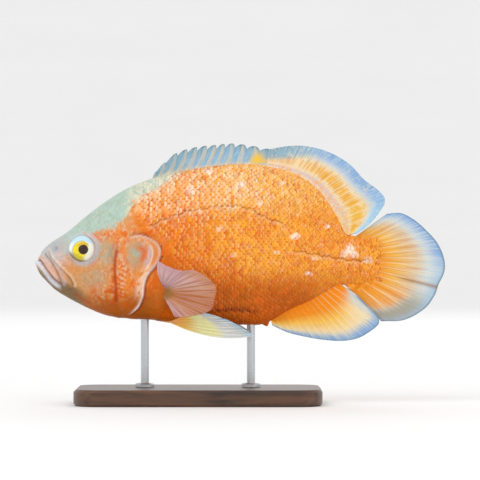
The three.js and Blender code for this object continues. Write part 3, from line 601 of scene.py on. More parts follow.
set_places(skin.data, in_frame(formed[ring, turn]))
bake_map(skin.data, 0.01 + 0.98 * ring / SKIN_RINGS, 0.01 + 0.98 * turn / SKIN_TURNS)
skin_places = plain_body[ring, turn]
set_paint(skin, line_marks(flesh_paint(skin_places), skin_places[:, 0], skin_places[:, 2]))


def close_up(piece):
    """Merges doubled vertices at seams and poles, and turns all faces outwards."""
    bm = bmesh.new()
    bm.from_mesh(piece.data)
    bmesh.ops.remove_doubles(bm, verts=bm.verts, dist=0.00001)
    bmesh.ops.recalc_face_normals(bm, faces=bm.faces)
    bm.to_mesh(piece.data)
    bm.free()
    piece.data.shade_smooth()


close_up(skin)


def wet_finish(name, roughness, coat, speck_size, bump_depth):
    """Painted and varnished resin: the paint attribute under a thin clear coat, with fine grain."""
    material, shader = new_material(name)
    paint = add_node(material, "ShaderNodeAttribute", attribute_name="paint")
    place = add_node(material, "ShaderNodeTexCoord")
    speck = add_node(
        material, "ShaderNodeTexNoise",
        {"Vector": place.outputs["Object"], "Scale": 1 / (speck_size * MM), "Detail": 3.0},
    )
    tone = add_node(
        material, "ShaderNodeMapRange",
        {"Value": speck.outputs["Fac"], "From Min": 0.3, "From Max": 0.7, "To Min": 0.9, "To Max": 1.1},
    )
    shade = add_node(
        material, "ShaderNodeVectorMath",
        {0: paint.outputs["Color"], 1: tone.outputs["Result"]}, operation="MULTIPLY",
    )
    gloss = add_node(
        material, "ShaderNodeMapRange",
        {"Value": speck.outputs["Fac"], "To Min": roughness - 0.08, "To Max": roughness + 0.08},
    )
    dents = add_node(
        material, "ShaderNodeBump",
        {"Height": speck.outputs["Fac"], "Strength": 0.5, "Distance": bump_depth * MM},
    )
    set_inputs(shader, {
        "Base Color": shade.outputs["Vector"], "Roughness": gloss.outputs["Result"],
        "Normal": dents.outputs["Normal"], "Coat Weight": coat, "Coat Roughness": 0.2, "IOR": 1.45,
        "Specular IOR Level": 0.1,
    })
    return material


# Skin as painted resin: satin with a soft wet sheen, and pores about 0.7 mm apart.
varnished_skin = wet_finish(
    "varnished_resin_skin", roughness=0.45, coat=0.05, speck_size=0.7, bump_depth=0.12
)
skin.data.materials.append(varnished_skin)
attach(skin, "root")
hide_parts("head", "lower_jaw", "trunk", "tail_stalk", "gill_cover_left", "gill_cover_right")


# The scales are thin horny plates set in rows like roof tiles, each sunk in the skin in front and
# standing free behind. They run from the nape and the gill covers on to the root of the tail fin.
SCALE_PITCH = 3.3  # along a row
ROW_PITCH = 1.95  # between rows, half a scale apart along the body
SCALE_LENGTH = 5.1
SCALE_HALF_WIDTH = 2.15
SCALE_GRID = (6, 6)
SCALE_PATCH = 0.003  # each scale's share of the map that its colours are baked on
COAT_END = 211  # the scales run out over the root of the tail fin


def coat_point(along, angle):
    """Points under the scales: the body, and behind it the two faces of the tail fin's root."""
    return body_point(along, angle, (
        lambda x: np.maximum(back_line(x), np.where(x > 195, 14.6 + 0.1 * (x - 200), -99)),
        lambda x: np.minimum(belly_line(x), np.where(x > 193, -13.6 - 0.1 * (x - 200), 99)),
        lambda x: np.maximum(half_width(x), np.where(x > 198, 1.1 + 1.5 * np.exp((201 - x) / 4), 0)),
    ))


ARC_STEP = 0.5
arc_alongs = np.arange(50, COAT_END + 6, ARC_STEP)
arc_angles = np.linspace(-0.35, math.pi + 0.35, 240)
arc_lengths = np.arange(-130, 130, ARC_STEP)
arc_points = coat_point(*np.meshgrid(arc_alongs, arc_angles, indexing="ij"))
arc_run = np.cumsum(np.linalg.norm(np.diff(arc_points, axis=1), axis=-1), axis=1)
arc_run = np.concatenate([np.zeros((len(arc_alongs), 1)), arc_run], axis=1)
angle_table = np.array([
    np.interp(arc_lengths, -(run - np.interp(math.pi / 2, arc_angles, run))[::-1], arc_angles[::-1])
    for run in arc_run
])


def angle_at(along, arc):
    """The body's angle at an arc length above its flank line."""
    x = np.clip((along - arc_alongs[0]) / ARC_STEP, 0, len(arc_alongs) - 1.001)
    y = np.clip((arc - arc_lengths[0]) / ARC_STEP, 0, len(arc_lengths) - 1.001)
    i, j = x.astype(int), y.astype(int)
    s, t = x - i, y - j
    front = angle_table[i, j] * (1 - t) + angle_table[i, j + 1] * t
    rear = angle_table[i + 1, j] * (1 - t) + angle_table[i + 1, j + 1] * t
    return front * (1 - s) + rear * s


scale_size = curve_through(
    (50, 1), (75, 1.1), (110, 1.04), (135, 0.9), (160, 0.77), (185, 0.66), (BODY_END, 0.56)
)
scale_start = curve_through(
    (-45, 66), (-33, 78), (-22, 88), (-8, 84), (4, 79), (12, 76.5), (18, 68), (28, 61), (36, 57), (60, 55)
)
draw = np.random.default_rng(12)
roots = []
for row in range(-44, 45):
    station = 53 + (row % 2) * SCALE_PITCH / 2
    while station < COAT_END - 7 * draw.random() ** 2:
        size = float(scale_size(station))
        arc = row * (1 - 0.004 * abs(row)) * ROW_PITCH * size
        angle = float(angle_at(np.array([station]), np.array([arc]))[0])
        up = float(coat_point(np.array([station]), np.array([angle]))[0, 2])
        if 0.02 < angle < math.pi - 0.02 and station > float(scale_start(up)):
            roots.append((station, arc, size * (1 - 0.004 * abs(row))))
        station += SCALE_PITCH * size
roots = np.array(roots)
roots[:, 0] += draw.normal(0, 0.28, len(roots))
roots[:, 1] += draw.normal(0, 0.17, len(roots))
roots[:, 2] *= draw.normal(1, 0.05, len(roots))
scale_tone, scale_hue, scale_rim = draw.normal(0, 1, (3, len(roots), 1))

template = bmesh.new()
bmesh.ops.create_grid(template, x_segments=SCALE_GRID[0], y_segments=SCALE_GRID[1], size=1)
template_mesh = bpy.data.meshes.new("scale_template")
template.to_mesh(template_mesh)
template.free()
cell = vertex_places(template_mesh)[:, :2]
rim = np.max(np.abs(cell), axis=1) > 0.99
cuts = np.array([-1, -0.6, -0.1, 0.3, 0.58, 0.86, 1])
inner = np.stack([cuts[np.rint((cell[:, 0] + 1) * 3).astype(int)], np.clip(cell[:, 1] * 1.3, -1, 1)], -1)
run = (inner[:, 0] + 1) / 2
breadth = np.sqrt(1 - np.clip((run - 0.42) / 0.6, 0, 1) ** 3) * (0.8 + 0.2 * run)
crown = -0.24 + 0.44 * run - 0.1 * inner[:, 1] ** 4
crown = np.where(rim, crown - 0.14, crown)
outer = np.where(rim, 1.0, 0.97)
template_faces = np.array([face.vertices[:] for face in template_mesh.polygons])
root_angle = angle_at(roots[:, 0], roots[:, 1])
root_place = coat_point(roots[:, 0], root_angle)
root_along, root_up = root_place[:, :1], root_place[:, 2:]
grown = ease(root_along - scale_start(root_up), 0, 7)  # the first rows lie flat and bare


def scale_piece(name, side, material):
    """All scales of one flank as one mesh."""
    size = roots[:, 2:]
    along = roots[:, :1] + (run - 0.4) * outer * SCALE_LENGTH * size
    arc = roots[:, 1:2] + inner[:, 1] * breadth * outer * SCALE_HALF_WIDTH * size
    height = crown * (0.62 + 0.05 * scale_tone) * size * (0.5 + 0.5 * grown)
    angle = angle_at(along, arc)
    here = coat_point(along, angle)
    normal = np.cross(coat_point(along + 0.2, angle) - here, coat_point(along, angle + 0.01) - here)
    normal /= np.maximum(np.linalg.norm(normal, axis=-1, keepdims=True), 1e-9)
    mirror = np.array([1, side, 1])
    places = (here + normal * height[..., None]) * mirror
    mesh = bpy.data.meshes.new(name)
    faces = template_faces[None] + np.arange(len(roots))[:, None, None] * len(cell)
    mesh.from_pydata(in_frame(places.reshape(-1, 3)), [], faces.reshape(-1, 4).tolist())
    piece = bpy.data.objects.new(name, mesh)
    bpy.context.scene.collection.objects.link(piece)

    base = (
        flesh_paint(root_place * mirror)[:, None]
        + flesh_paint(here.reshape(-1, 3) * mirror).reshape(here.shape)
    ) / 2
    warm = ease(base[..., 0] - base[..., 2], 0.05, 0.4)  # the grey and white scales keep their colour
    base = layered(
        base,
        (DEEP_ORANGE, 0.55 * warm * ease(scale_hue, 0.2, 1.4)),
        (GOLD_FLANK, 0.5 * warm * ease(root_up, -14, 6) * ease(scale_hue, -0.4, -1.6)),
    )
    base = base * (1 + 0.06 * scale_tone)[..., None]
    shoulder = ease(root_up - 0.12 * root_along, 6, 26) * (1 - 0.5 * ease(root_along, 110, 160))
    shadow = ease(run, 0.1, 0.3) * ease(run, 0.66, 0.44) * (0.25 + 0.75 * warm) * (0.1 + 0.6 * grown)
    rear = run - 0.1 * (1 - shoulder) + 0.03 * scale_hue
    sides = 0.85 * ease(np.abs(inner[:, 1]), 0.8, 1) * ease(run, 0.4, 0.6)
    edge = np.maximum(ease(rear, 0.7, 0.84), sides)
    pale = (0.4 + 0.02 * shoulder + 0.2 * scale_rim) * (1 - 0.75 * ease(root_up, 2, -18))
    pale = np.clip(pale * (0.35 + 0.65 * grown), 0.03, 0.85)
    rim_shade = RIM_GOLD + (CREAM - RIM_GOLD) * (0.2 + 0.8 * shoulder)[..., None]
    colours = layered(base, (DEEP_ORANGE * 0.85, shadow), (rim_shade, edge * pale)).reshape(-1, 3)
    set_paint(piece, line_marks(colours, here[..., 0].ravel(), here[..., 2].ravel()))
    u = 0.02 + 0.96 * roots[:, :1] / COAT_END + inner[:, 0] * SCALE_PATCH / 2
    v = 0.5 + 0.96 * side * root_angle[:, None] / (2 * math.pi) + inner[:, 1] * SCALE_PATCH / 2
    bake_map(mesh, u.ravel(), v.ravel())
    mesh.materials.append(material)
    bm = bmesh.new()
    bm.from_mesh(mesh)
    bmesh.ops.recalc_face_normals(bm, faces=bm.faces)
    if sum(face.normal.y * side > 0 for face in bm.faces) < len(bm.faces) / 2:
        bmesh.ops.reverse_faces(bm, faces=bm.faces)
    bm.to_mesh(mesh)
    bm.free()
    mesh.shade_smooth()
    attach(piece, "root")


# Scales as painted resin: glossier than the skin, since each is a smooth wet plate.
varnished_scales = wet_finish(
    "varnished_resin_scales", roughness=0.4, coat=0.05, speck_size=0.5, bump_depth=0.05
)
SIDES = (("left", -1), ("right", 1))
for side_name, side in SIDES:
    scale_piece(f"scales_{side_name}", side, varnished_scales)
bpy.data.meshes.remove(template_mesh)


# The eyes are cast glass domes set in the sockets from inside: a dark pupil, a yellow iris, and
# the pale ball round it, behind a clear cornea that bulges a little over the iris.
IRIS_RADIUS = 5.7
PUPIL_RADIUS = 3.0
CORNEA_RADIUS = 6.1
CORNEA_BULGE = 0.45
DOME_STEPS = 56
DOME_SIDES = 88
IRIS_SHIFT = (-0.4, -0.6)  # along and up from the ball's middle
PUPIL_SHIFT = (0.4, 0.1)
IRIS_YELLOW = linear("#f8e024")
IRIS_OLIVE = linear("#98902c")
IRIS_ORANGE = linear("#d8702c")
PUPIL_BROWN = linear("#3a2317")
BALL_WHITE = linear("#f3f5ef")
BALL_SHEEN_BLUE = linear("#c0e2f0")
BALL_SHADOW = linear("#786444")


def eye_paint(along, up):
    """The eye's colour at places from its middle, as seen on the flank, with painted sheen, shade and
    highlight.
    """
    fleck = mottle(np.stack([along, 0 * along, up], -1), 0.5, 21)
    from_iris = np.hypot(along - IRIS_SHIFT[0], up - IRIS_SHIFT[1])
    from_pupil = np.hypot(along - PUPIL_SHIFT[0], up - PUPIL_SHIFT[1])
    inside = ease(from_iris, IRIS_RADIUS, IRIS_RADIUS - 0.35)
    return layered(
        np.tile(BALL_WHITE, (len(along), 1)),
        # Pale blue over the top of the ball: painted sheen.
        (BALL_SHEEN_BLUE, 0.9 * ease(up, 2, 5.5)),
        (BALL_SHADOW, 0.9 * ease(-up - 0.6 * along, 4.3, 7.8)),
        (IRIS_OLIVE, 0.75 * bump(from_iris - IRIS_RADIUS, 0.35) * ease(along, 3, -1)),
        (IRIS_YELLOW, inside),
        (IRIS_OLIVE, 0.25 * inside * ease(fleck, 0.5, 0.8)),
        (IRIS_ORANGE, 0.75 * inside * bump(from_pupil - 3.9, 0.4) * ease(up, 1.2, 3)),
        (IRIS_OLIVE, 0.45 * inside * ease(-up - 0.5 * along, 3.6, 5.2)),
        # White over the rear of the iris: a painted highlight.
        (BALL_WHITE, 0.85 * inside * ease(along - 0.35 * up, 1.2, 4.2)),
        (PUPIL_BROWN, ease(from_pupil, PUPIL_RADIUS + 0.2, PUPIL_RADIUS - 0.2)),
    )


def glass_eye(name, side):
    """A dome spun round the axis that points out of the socket."""
    radius, depth = EYE["radius"], EYE["depth"]
    outline = []
    for step in range(DOME_STEPS + 1):
        out = radius * math.sin(step / DOME_STEPS * math.pi / 2)
        dome = depth * math.sqrt(max(0, 1 - (out / radius) ** 2))
        cornea = (depth + CORNEA_BULGE) * math.sqrt(max(0, 1 - (out / CORNEA_RADIUS) ** 2))
        outline.append((out, max(dome, cornea), 0))
    outline += [(radius * 0.6, -depth * 0.6, 0), (0, -depth * 0.7, 0)]
    bm = spun(outline, DOME_SIDES, axis=(0, 1, 0))
    bmesh.ops.remove_doubles(bm, verts=bm.verts, dist=0.001)
    ball = mesh_object(bm, name)
    places = vertex_places(ball.data)
    set_paint(ball, eye_paint(places[:, 0], places[:, 2]))
    middle = (EYE["along"], float(flank_side(EYE["along"], EYE["up"])) - EYE["sunk"], EYE["up"])
    set_places(ball.data, in_frame((places + middle) * (1, side, 1)))
    close_up(ball)
    return ball


# Cast glass eye: the painted iris shows through a hard, clear, very smooth face.
cast_glass, shader = new_material("cast_glass_eye")
eye_colour = add_node(cast_glass, "ShaderNodeAttribute", attribute_name="paint")
set_inputs(shader, {
    "Base Color": eye_colour.outputs["Color"], "Roughness": 0.3, "IOR": 1.45,
    "Specular IOR Level": 0.2, "Coat Weight": 0.35, "Coat Roughness": 0.04,
})
for side_name, side in SIDES:
    ball = glass_eye(f"glass_eye_{side_name}", side)
    ball.data.materials.append(cast_glass)
    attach(ball, "root")
    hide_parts(f"eye_{side_name}")


# The fins along the midline are thin membranes stretched between rays. The dorsal's front rays are
# stiff spines; the others are soft, and each splits in two twice on its way to the margin.
def fin_sheet(keys, bend):
    """The fin's middle surface: a function of the share along its root and the way out to its edge."""
    shares, *ends = zip(*keys)
    curves = [[curve_through(*zip(shares, values)) for values in zip(*end)] for end in ends]

    def sheet(share, out):
        share = np.clip(share, 0, 1)
        root, tip = (np.stack([curve(share) for curve in of_end], -1) for of_end in curves)
        bent = np.stack(np.broadcast_arrays(*bend(share, np.maximum(out, 0))), -1)
        return root + (tip - root) * out[..., None] + bent

    return sheet


RAY_BREADTH = 0.1  # of the gap between rays


def ray_ridges(share, out, rays, forks):
    """Ridge height from 0 to 1: full on each ray, which forks at the given ways out."""
    place = share * rays
    offset = np.abs(place - np.rint(place))
    for start, spread in forks:
        offset = np.abs(offset - spread * np.clip((out - start) / (1 - start), 0, 1))
    return bump(offset, RAY_BREADTH * (1 - 0.45 * out))


RIPPLE = 0.12  # how far the membrane waves between rays, in millimetres
FORKS = ((0.3, 0.23), (0.66, 0.1))  # the way out where each fork starts, and how wide it spreads


def fin_piece(name, keys, rays, paint, bend=lambda share, out: (0, 0 * share, 0), edge=None, forks=FORKS,
              rows=56, per_ray=14, root_half=0.8, edge_half=0.12, ridge=0.3, sink=0.1):
    """A closed fin: two faces a membrane apart, with the rays raised on both, joined at the rim."""
    sheet = fin_sheet(keys, bend)
    bm = bmesh.new()
    for depth in (0, -1):
        bmesh.ops.create_grid(
            bm, x_segments=rays * per_ray, y_segments=rows, size=1,
            matrix=Matrix.Translation((0, 0, depth)),
        )
    bmesh.ops.bridge_loops(bm, edges=[each for each in bm.edges if each.is_boundary])
    piece = mesh_object(bm, name)
    unit = vertex_places(piece.data)
    share, out = (unit[:, 0] + 1) / 2, (unit[:, 1] + 1) / 2
    face = np.where(unit[:, 2] > -0.5, 1.0, -1.0)
    reach = (-sink + (1 + sink) * out) * (edge(share) if edge else 1.0)
    way_out = np.clip(reach, 0, 1)
    near = 0.003
    along_root = sheet(share + near, reach) - sheet(share - near, reach)
    along_ray = sheet(share, reach + near) - sheet(share, reach - near)
    across = np.cross(along_root, along_ray)
    across /= np.maximum(np.linalg.norm(across, axis=-1, keepdims=True), 1e-9)
    ridges = ray_ridges(share, way_out, rays, forks)
    half = root_half + (edge_half - root_half) * np.sqrt(way_out)
    half = half + ridge * ridges * (1 - 0.7 * way_out)
    ripple = RIPPLE * np.sin(share * rays * 2 * math.pi) * way_out
    half *= 1 - 0.35 * ease(way_out, 0.93, 1)
    places = sheet(share, reach) + across * (face * half + ripple)[:, None]
    set_places(piece.data, in_frame(places))
    broad = mottle(np.stack([share * rays * 2.3, way_out * 2.2, 0 * share], -1), 1.0, 33)
    streak = mottle(np.stack([share * rays * 9, way_out * 3, 0 * share], -1), 1.0, 34)
    comb = 0.5 + 0.5 * np.cos(share * rays * 6 * math.pi + 5 * broad)
    streak = 0.2 * broad + 0.5 * streak + 0.3 * comb
    colours = paint(share, way_out, ridges, streak, mottle(places, 1.3, 32))
    set_paint(piece, colours)
    close_up(piece)
    return piece


def blend_stops(value, *stops):
    """Runs through colours at (position, colour) stops."""
    positions = [stop[0] for stop in stops]
    shades = np.array([stop[1] for stop in stops])
    return np.stack([np.interp(value, positions, shades[:, band]) for band in range(3)], -1)


def midline(*keys):
    """Key rays in the fish's middle plane, from (share, root along and up, tip along and up) rows."""
    return [(share, (a, 0, b), (c, 0, d)) for share, a, b, c, d in keys]


FIN_ORANGE = linear("#f7941c")
FIN_DEEP_ORANGE = linear("#fa8a02")
FIN_BROWN = linear("#d9872e")
FIN_GOLD = linear("#f4bd58")
FIN_AMBER_GOLD = linear("#fcc858")
FIN_CREAM = linear("#f3e2bb")
FIN_BEIGE = linear("#dcc6a2")
FIN_BLUE = linear("#a6c4da")
FIN_DEEP_BLUE = linear("#7ea6d8")
FIN_CYAN = linear("#9fd2ec")
FIN_SLATE = linear("#86abbc")
FIN_GREY = linear("#a39d8c")
FIN_HAZE = linear("#9fa9b4")
FIN_LAVENDER = linear("#dcc0bb")
FIN_WHITE = linear("#e4e9ec")
FIN_PEARL = linear("#cdd8dc")
FIN_YELLOW = linear("#f4c83a")
FIN_SKY = linear("#93c0e0")
FIN_DARK = linear("#5f7480")


SPINE_GAPS = 11  # between twelve spines


def spiny_paint(share, out, ridges, streak, fleck):
    """Slate and sky blue between beige spines, dark at the rim, with a yellow patch by the last."""
    sway = 0.22 * np.sin(out * math.pi) + 0.07 * np.sin(share * 61 + out * 5)
    spine = np.abs(share * SPINE_GAPS - sway - np.rint(share * SPINE_GAPS - sway))
    wide = 0.13 + 0.12 * (1 - out)
    before_last = ease(share, 0.99, 0.95)
    return layered(
        blend_stops(share, (0, FIN_SLATE * 0.8), (0.5, FIN_SKY), (0.85, FIN_SKY), (1, FIN_SLATE)),
        (FIN_SLATE, 0.7 * ease(out, 0.55, 0.9) + 0.6 * ease(streak, 0.45, 0.7)),
        (FIN_DARK, 0.6 * ease(out, 0.86, 0.98) + 0.3 * bump(spine - 0.26, 0.07) * ease(out, 0.2, 0.6)),
        (FIN_BEIGE, (0.5 + 0.3 * share) * bump(spine, wide) * ease(streak, 0.1, 0.5)
         * (1 - 0.8 * ease(out, 0.75, 1)) * before_last),
        (FIN_CREAM, (0.3 * ridges + 0.3 * ease(fleck, 0.55, 0.8) * (1 - out)) * before_last),
        (FIN_CREAM, 0.6 * ease(out + 0.2 * (fleck - 0.5), 0.24, 0.03)),
        (FIN_GOLD, 0.7 * ease(share, 0.9, 1) * ease(out, 0.1, 0.2) * ease(out, 0.5, 0.3)),
        (FIN_DARK, 0.5 * ease(out, 0.96, 0.99)),
        (FIN_YELLOW, bump(share - 0.945, 0.035) * bump(out - 0.36, 0.32)),
    )


def soft_dorsal_paint(share, out, ridges, streak, fleck):
    """Cream and lilac at the root, a gold band, and a broad blue margin."""
    uneven = 0.1 * (streak - 0.5)
    margin = 0.53 - 0.25 * ease(share, 0.3, 0.08) + uneven
    near_root = ease(out, 0.3, 0.12)
    front = ease(share, 0.45, 0.2)
    blue = layered(
        blend_stops(share, (0, FIN_SLATE), (0.3, FIN_BLUE), (0.75, FIN_BLUE), (1, FIN_CYAN)),
        (FIN_DEEP_BLUE, (0.3 + 0.7 * ease(streak, 0.45, 0.65)) * ease(share, 0.15, 0.45)
         * (1 - 0.8 * ease(share, 0.82, 0.95))),
    )
    return layered(
        blend_stops(
            out + 0.1 * (fleck - 0.5) + 0.5 * uneven, (0, FIN_CREAM), (0.12, FIN_LAVENDER),
            (0.22, FIN_CREAM), (0.32, FIN_GOLD), (0.44, FIN_GOLD), (0.6, FIN_CREAM), (0.78, FIN_WHITE),
        ),
        (FIN_ORANGE, 0.6 * ease(fleck, 0.5, 0.7) * near_root),
        (FIN_LAVENDER, 0.5 * ease(1 - fleck, 0.5, 0.8) * near_root),
        (FIN_CREAM, 0.6 * ease(share, 0.5, 0.25) * ease(out, 0.1, 0.25)),
        (FIN_BROWN, 0.5 * ease(streak, 0.45, 0.62) * ease(out, 0.15, 0.3) * ease(out, 0.75, 0.5)),
        (FIN_YELLOW, 0.3 * ease(share, 0.7, 0.9) * ease(out, 0.8, 0.5)),
        (FIN_CREAM, 0.5 * ridges * (1 - 0.7 * near_root)),
        (blue, 0.95 * ease(out, margin, margin + 0.34)),
        (FIN_SLATE * 0.6, 0.5 * ease(streak, 0.5, 0.7) * front * ease(out, 0.4, 0.6)),
        (FIN_CREAM, 0.35 * ease(fleck, 0.6, 0.9)),
    )


def anal_paint(share, out, ridges, streak, fleck):
    """Orange at the root, amber and cream further out, and a blue margin."""
    uneven = 0.11 * (streak - 0.5)
    blue = FIN_BLUE + (FIN_DEEP_BLUE - FIN_BLUE) * (0.3 + 0.7 * ease(streak, 0.4, 0.65))[:, None]
    return layered(
        blend_stops(
            out + uneven, (0, FIN_DEEP_ORANGE), (0.28, FIN_ORANGE), (0.5, FIN_AMBER_GOLD), (0.84, FIN_CREAM)
        ),
        (FIN_BROWN, 0.5 * ease(streak, 0.55, 0.8) * ease(out, 0.8, 0.5)),
        (FIN_CREAM, (0.04 + 0.4 * ease(share, 0.4, 0.85)) * ridges),
        (FIN_CREAM, 0.8 * ease(share + uneven, 0.7, 0.9) * ease(out, 0.2, 0.6)),
        (FIN_PEARL, 0.9 * ease(share + uneven, 0.86, 0.98) * ease(out, 0.12, 0.5)),
        (blue, 0.95 * ease(out + uneven, 0.74, 0.96)),
        (FIN_DARK, 0.5 * ease(out, 0.965, 0.99)),
    )


def tail_paint(share, out, ridges, streak, fleck):
    """Scaly orange at the root, gold with brown streaks, and a margin of blue that turns grey below."""
    uneven = 0.12 * (streak - 0.5)
    reach = out + uneven
    scaly = ease(reach, 0.3, 0.12)
    rear = layered(
        blend_stops(share, (0.45, FIN_DEEP_BLUE), (0.6, FIN_BLUE), (0.8, FIN_BLUE), (1, FIN_HAZE)),
        (FIN_BLUE, 0.7 * ease(1 - streak, 0.5, 0.7)),
    )
    return layered(
        blend_stops(
            reach, (0, FLANK), (0.16, FIN_ORANGE), (0.38, FIN_GOLD), (0.62, FIN_BEIGE), (0.78, FIN_PEARL)
        ),
        (FIN_ORANGE, 0.6 * ease(share, 0.74, 0.86) * ease(reach, 0.8, 0.55)),
        (FIN_BROWN, 0.6 * ease(streak, 0.45, 0.68) * ease(out, 0.08, 0.2) * ease(out, 0.85, 0.62)),
        (FIN_CREAM, 0.5 * ridges * ease(out, 0.1, 0.35) * (1 - 0.6 * ease(out, 0.7, 0.9))),
        (FIN_PEARL, 0.7 * ease(share + 0.4 * uneven, 0.12, 0.03) * ease(out, 0.35, 0.7)),
        (RIM_GOLD, 0.6 * scaly * ease(fleck, 0.5, 0.75)),
        # Dark red flecks at the fin's scaly root: painted shade between the scales.
        (SHADE_AND_STREAK_RED, 0.35 * scaly * ease(1 - fleck, 0.5, 0.8)),
        (FIN_GREY, 0.9 * ease(share, 0.72, 0.88) * ease(reach, 0.6, 0.8)),
        (rear, 0.95 * ease(reach, 0.74 + 0.08 * ease(share, 0.5, 0.7), 1.02)),
        (FIN_DARK, 0.6 * ease(out, 0.97, 0.99) + 0.35 * ease(np.minimum(share, 1 - share), 0.02, 0)),
        # A dark line along the fold below the fin's middle: painted shade.
        (FIN_BROWN * 0.45, 0.6 * bump(share - 0.7, 0.014) * ease(out, 0.35, 0.6)),
    )


def lobed_edge(share):
    """The spiny fin's margin: a notch behind each spine, then a round lobe up to the next one."""
    lobe = (share * SPINE_GAPS) % 1
    notch = 0.26 + 0.16 * share
    rising = np.clip((lobe - notch) / (1 - notch), 0, 1)
    return 0.99 - 0.18 * np.where(lobe < notch, (lobe / notch) ** 2.2, (1 - rising) ** 2.6)


def tail_bend(share, out):
    """How far the tail fin leans to the side: a slow wave, and a sharp fold below its middle."""
    fold = np.tanh((share - 0.69) * 26) * bump(share - 0.69, 0.16)
    side = (1.4 * np.sin(share * 5) + 1.5 * fold + 0.8) * out**1.3
    return 0, side + 1.6 * ease(share, 0.82, 1) * np.sqrt(out), 0


SPINES = midline(
    (0, 71, 50.2, 72.8, 54.6), (0.09, 75, 51.5, 78.2, 60.2), (0.18, 80.6, 52.9, 85.6, 66.4),
    (0.36, 92, 55, 97.7, 70.2), (0.55, 104, 57, 109.8, 71.6), (0.73, 116, 58.2, 120.4, 72.4),
    (0.9, 129.5, 58.9, 133.4, 70.8), (1, 141, 58.5, 142.7, 69),
)
SOFT_DORSAL = midline(
    (0, 141.2, 58.4, 142.8, 68.8), (0.12, 149.6, 56.6, 155.2, 70.8),
    (0.25, 157, 53.8, 166.8, 70.4), (0.4, 164.8, 49.8, 179.6, 66.8),
    (0.55, 171.9, 44.6, 191.8, 59.5), (0.68, 177.8, 37.6, 200.4, 50.3),
    (0.8, 182.4, 30, 209.5, 43.3), (0.88, 185.2, 25.2, 213.2, 37.2),
    (0.94, 187.2, 21, 209.6, 30.2), (0.97, 188.4, 18.4, 204.2, 23.6), (1, 189.4, 15.4, 196.4, 17.5),
)
ANAL = midline(
    (0, 143.6, -34.6, 144.4, -38.6), (0.1, 147.4, -32.8, 152.8, -42.6),
    (0.25, 153.6, -29.4, 163.6, -45.4), (0.4, 160.2, -26.4, 175.2, -47.4),
    (0.55, 166.4, -23.8, 187, -48.1), (0.68, 171.6, -21.4, 196.2, -46.6),
    (0.8, 176.4, -18.6, 204, -42.4), (0.9, 180.2, -16.4, 209.6, -36.8),
    (0.96, 184, -15, 206.8, -31.2), (1, 187.4, -14.2, 197, -21.2),
)
TAIL = midline(
    (0, 190.5, 12.4, 214.6, 29.4), (0.1, 194, 12.6, 223, 29.8), (0.2, 197, 11, 231, 25.8),
    (0.3, 199.4, 9, 238.4, 19.4), (0.4, 201, 6.2, 245.4, 11.4), (0.5, 201.8, 2.8, 249.4, 1.9),
    (0.6, 201.8, -0.6, 249.4, -6.2), (0.68, 201.4, -3.4, 246, -13.6),
    (0.76, 200.2, -6.2, 243.6, -20.4), (0.85, 197.8, -9.2, 237, -28.8),
    (0.93, 194, -11.8, 224.8, -35.4), (1, 188.4, -13.6, 211, -36.2),
)
# Fins as thin cast resin: satin.
varnished_fins = wet_finish(
    "varnished_resin_fins", roughness=0.42, coat=0.08, speck_size=0.4, bump_depth=0.04
)
midline_fins = [
    fin_piece("spiny_dorsal", SPINES, SPINE_GAPS, spiny_paint, edge=lobed_edge, forks=(), rows=36, per_ray=18,
              root_half=1.0, ridge=0.5, sink=0.5),
    fin_piece("soft_dorsal", SOFT_DORSAL, 17, soft_dorsal_paint, root_half=1.5, sink=0.2,
              bend=lambda s, o: (0, -3 * s**3 * o**1.5, 1.6 * s * o * (1 - o))),
    fin_piece("anal", ANAL, 15, anal_paint, root_half=1.5, sink=0.25,
              bend=lambda s, o: (0, -3.2 * s**3 * o**1.5, 0)),
    fin_piece("tail", TAIL, 16, tail_paint, root_half=1.4, rows=70, bend=tail_bend, sink=0.15),
]
for piece, node, slot in zip(
    midline_fins, ("dorsal_fin_spiny", "dorsal_fin_soft", "anal_fin", "tail_fin"),
    ("blue_fin", "blue_fin", "orange_fin", "orange_fin"),
):
    piece.data.materials.append(varnished_fins)
    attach(piece, "root")
    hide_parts(node)


# The paired fins: the breast fins fan out from short roots behind the gill covers and stand off the
# flank, and the belly fins sweep back under the belly to long pale points. Both are thin membranes.
FIN_ROSE = linear("#d9adb6")
FIN_SALMON = linear("#d99868")
FIN_EMBER = linear("#cb783c")
FIN_BLUSH = linear("#f3dad6")
FIN_AMBER = linear("#ffae58")
FIN_ROOT_SHADE = linear("#ad8246")
FIN_LEMON = linear("#fffcb8")


def pectoral_paint(share, out, ridges, streak, fleck):
    """Rose above and at the lowest ray, salmon and ember between them, with pale rays."""
    faded = 1 - 0.6 * np.maximum(ease(out, 0.6, 0.95), ease(share, 0.5, 0.75))
    return layered(
        blend_stops(
            share, (0.35, FIN_ROSE), (0.6, FIN_SALMON), (0.78, FIN_EMBER), (0.92, FIN_SALMON), (1, FIN_ROSE)
        ),
        (FIN_SALMON, 0.8 * ease(out, 0.45, 0.85) * ease(share, 0.2, 0.45) * ease(share, 0.75, 0.6)),
        # Olive-brown over the fleshy root: painted shade.
        (FIN_ROOT_SHADE, 0.85 * ease(out, 0.22, 0.02) * ease(share, 0.2, 0.5)),
        (SHADE_AND_STREAK_RED, 0.5 * ease(streak, 0.5, 0.7) * ease(share, 0.25, 0.6) * ease(out, 0.1, 0.4)),
        (FIN_BLUSH, (0.14 + 0.6 * ridges) * ease(out, 0.05, 0.3) * faded),
    )


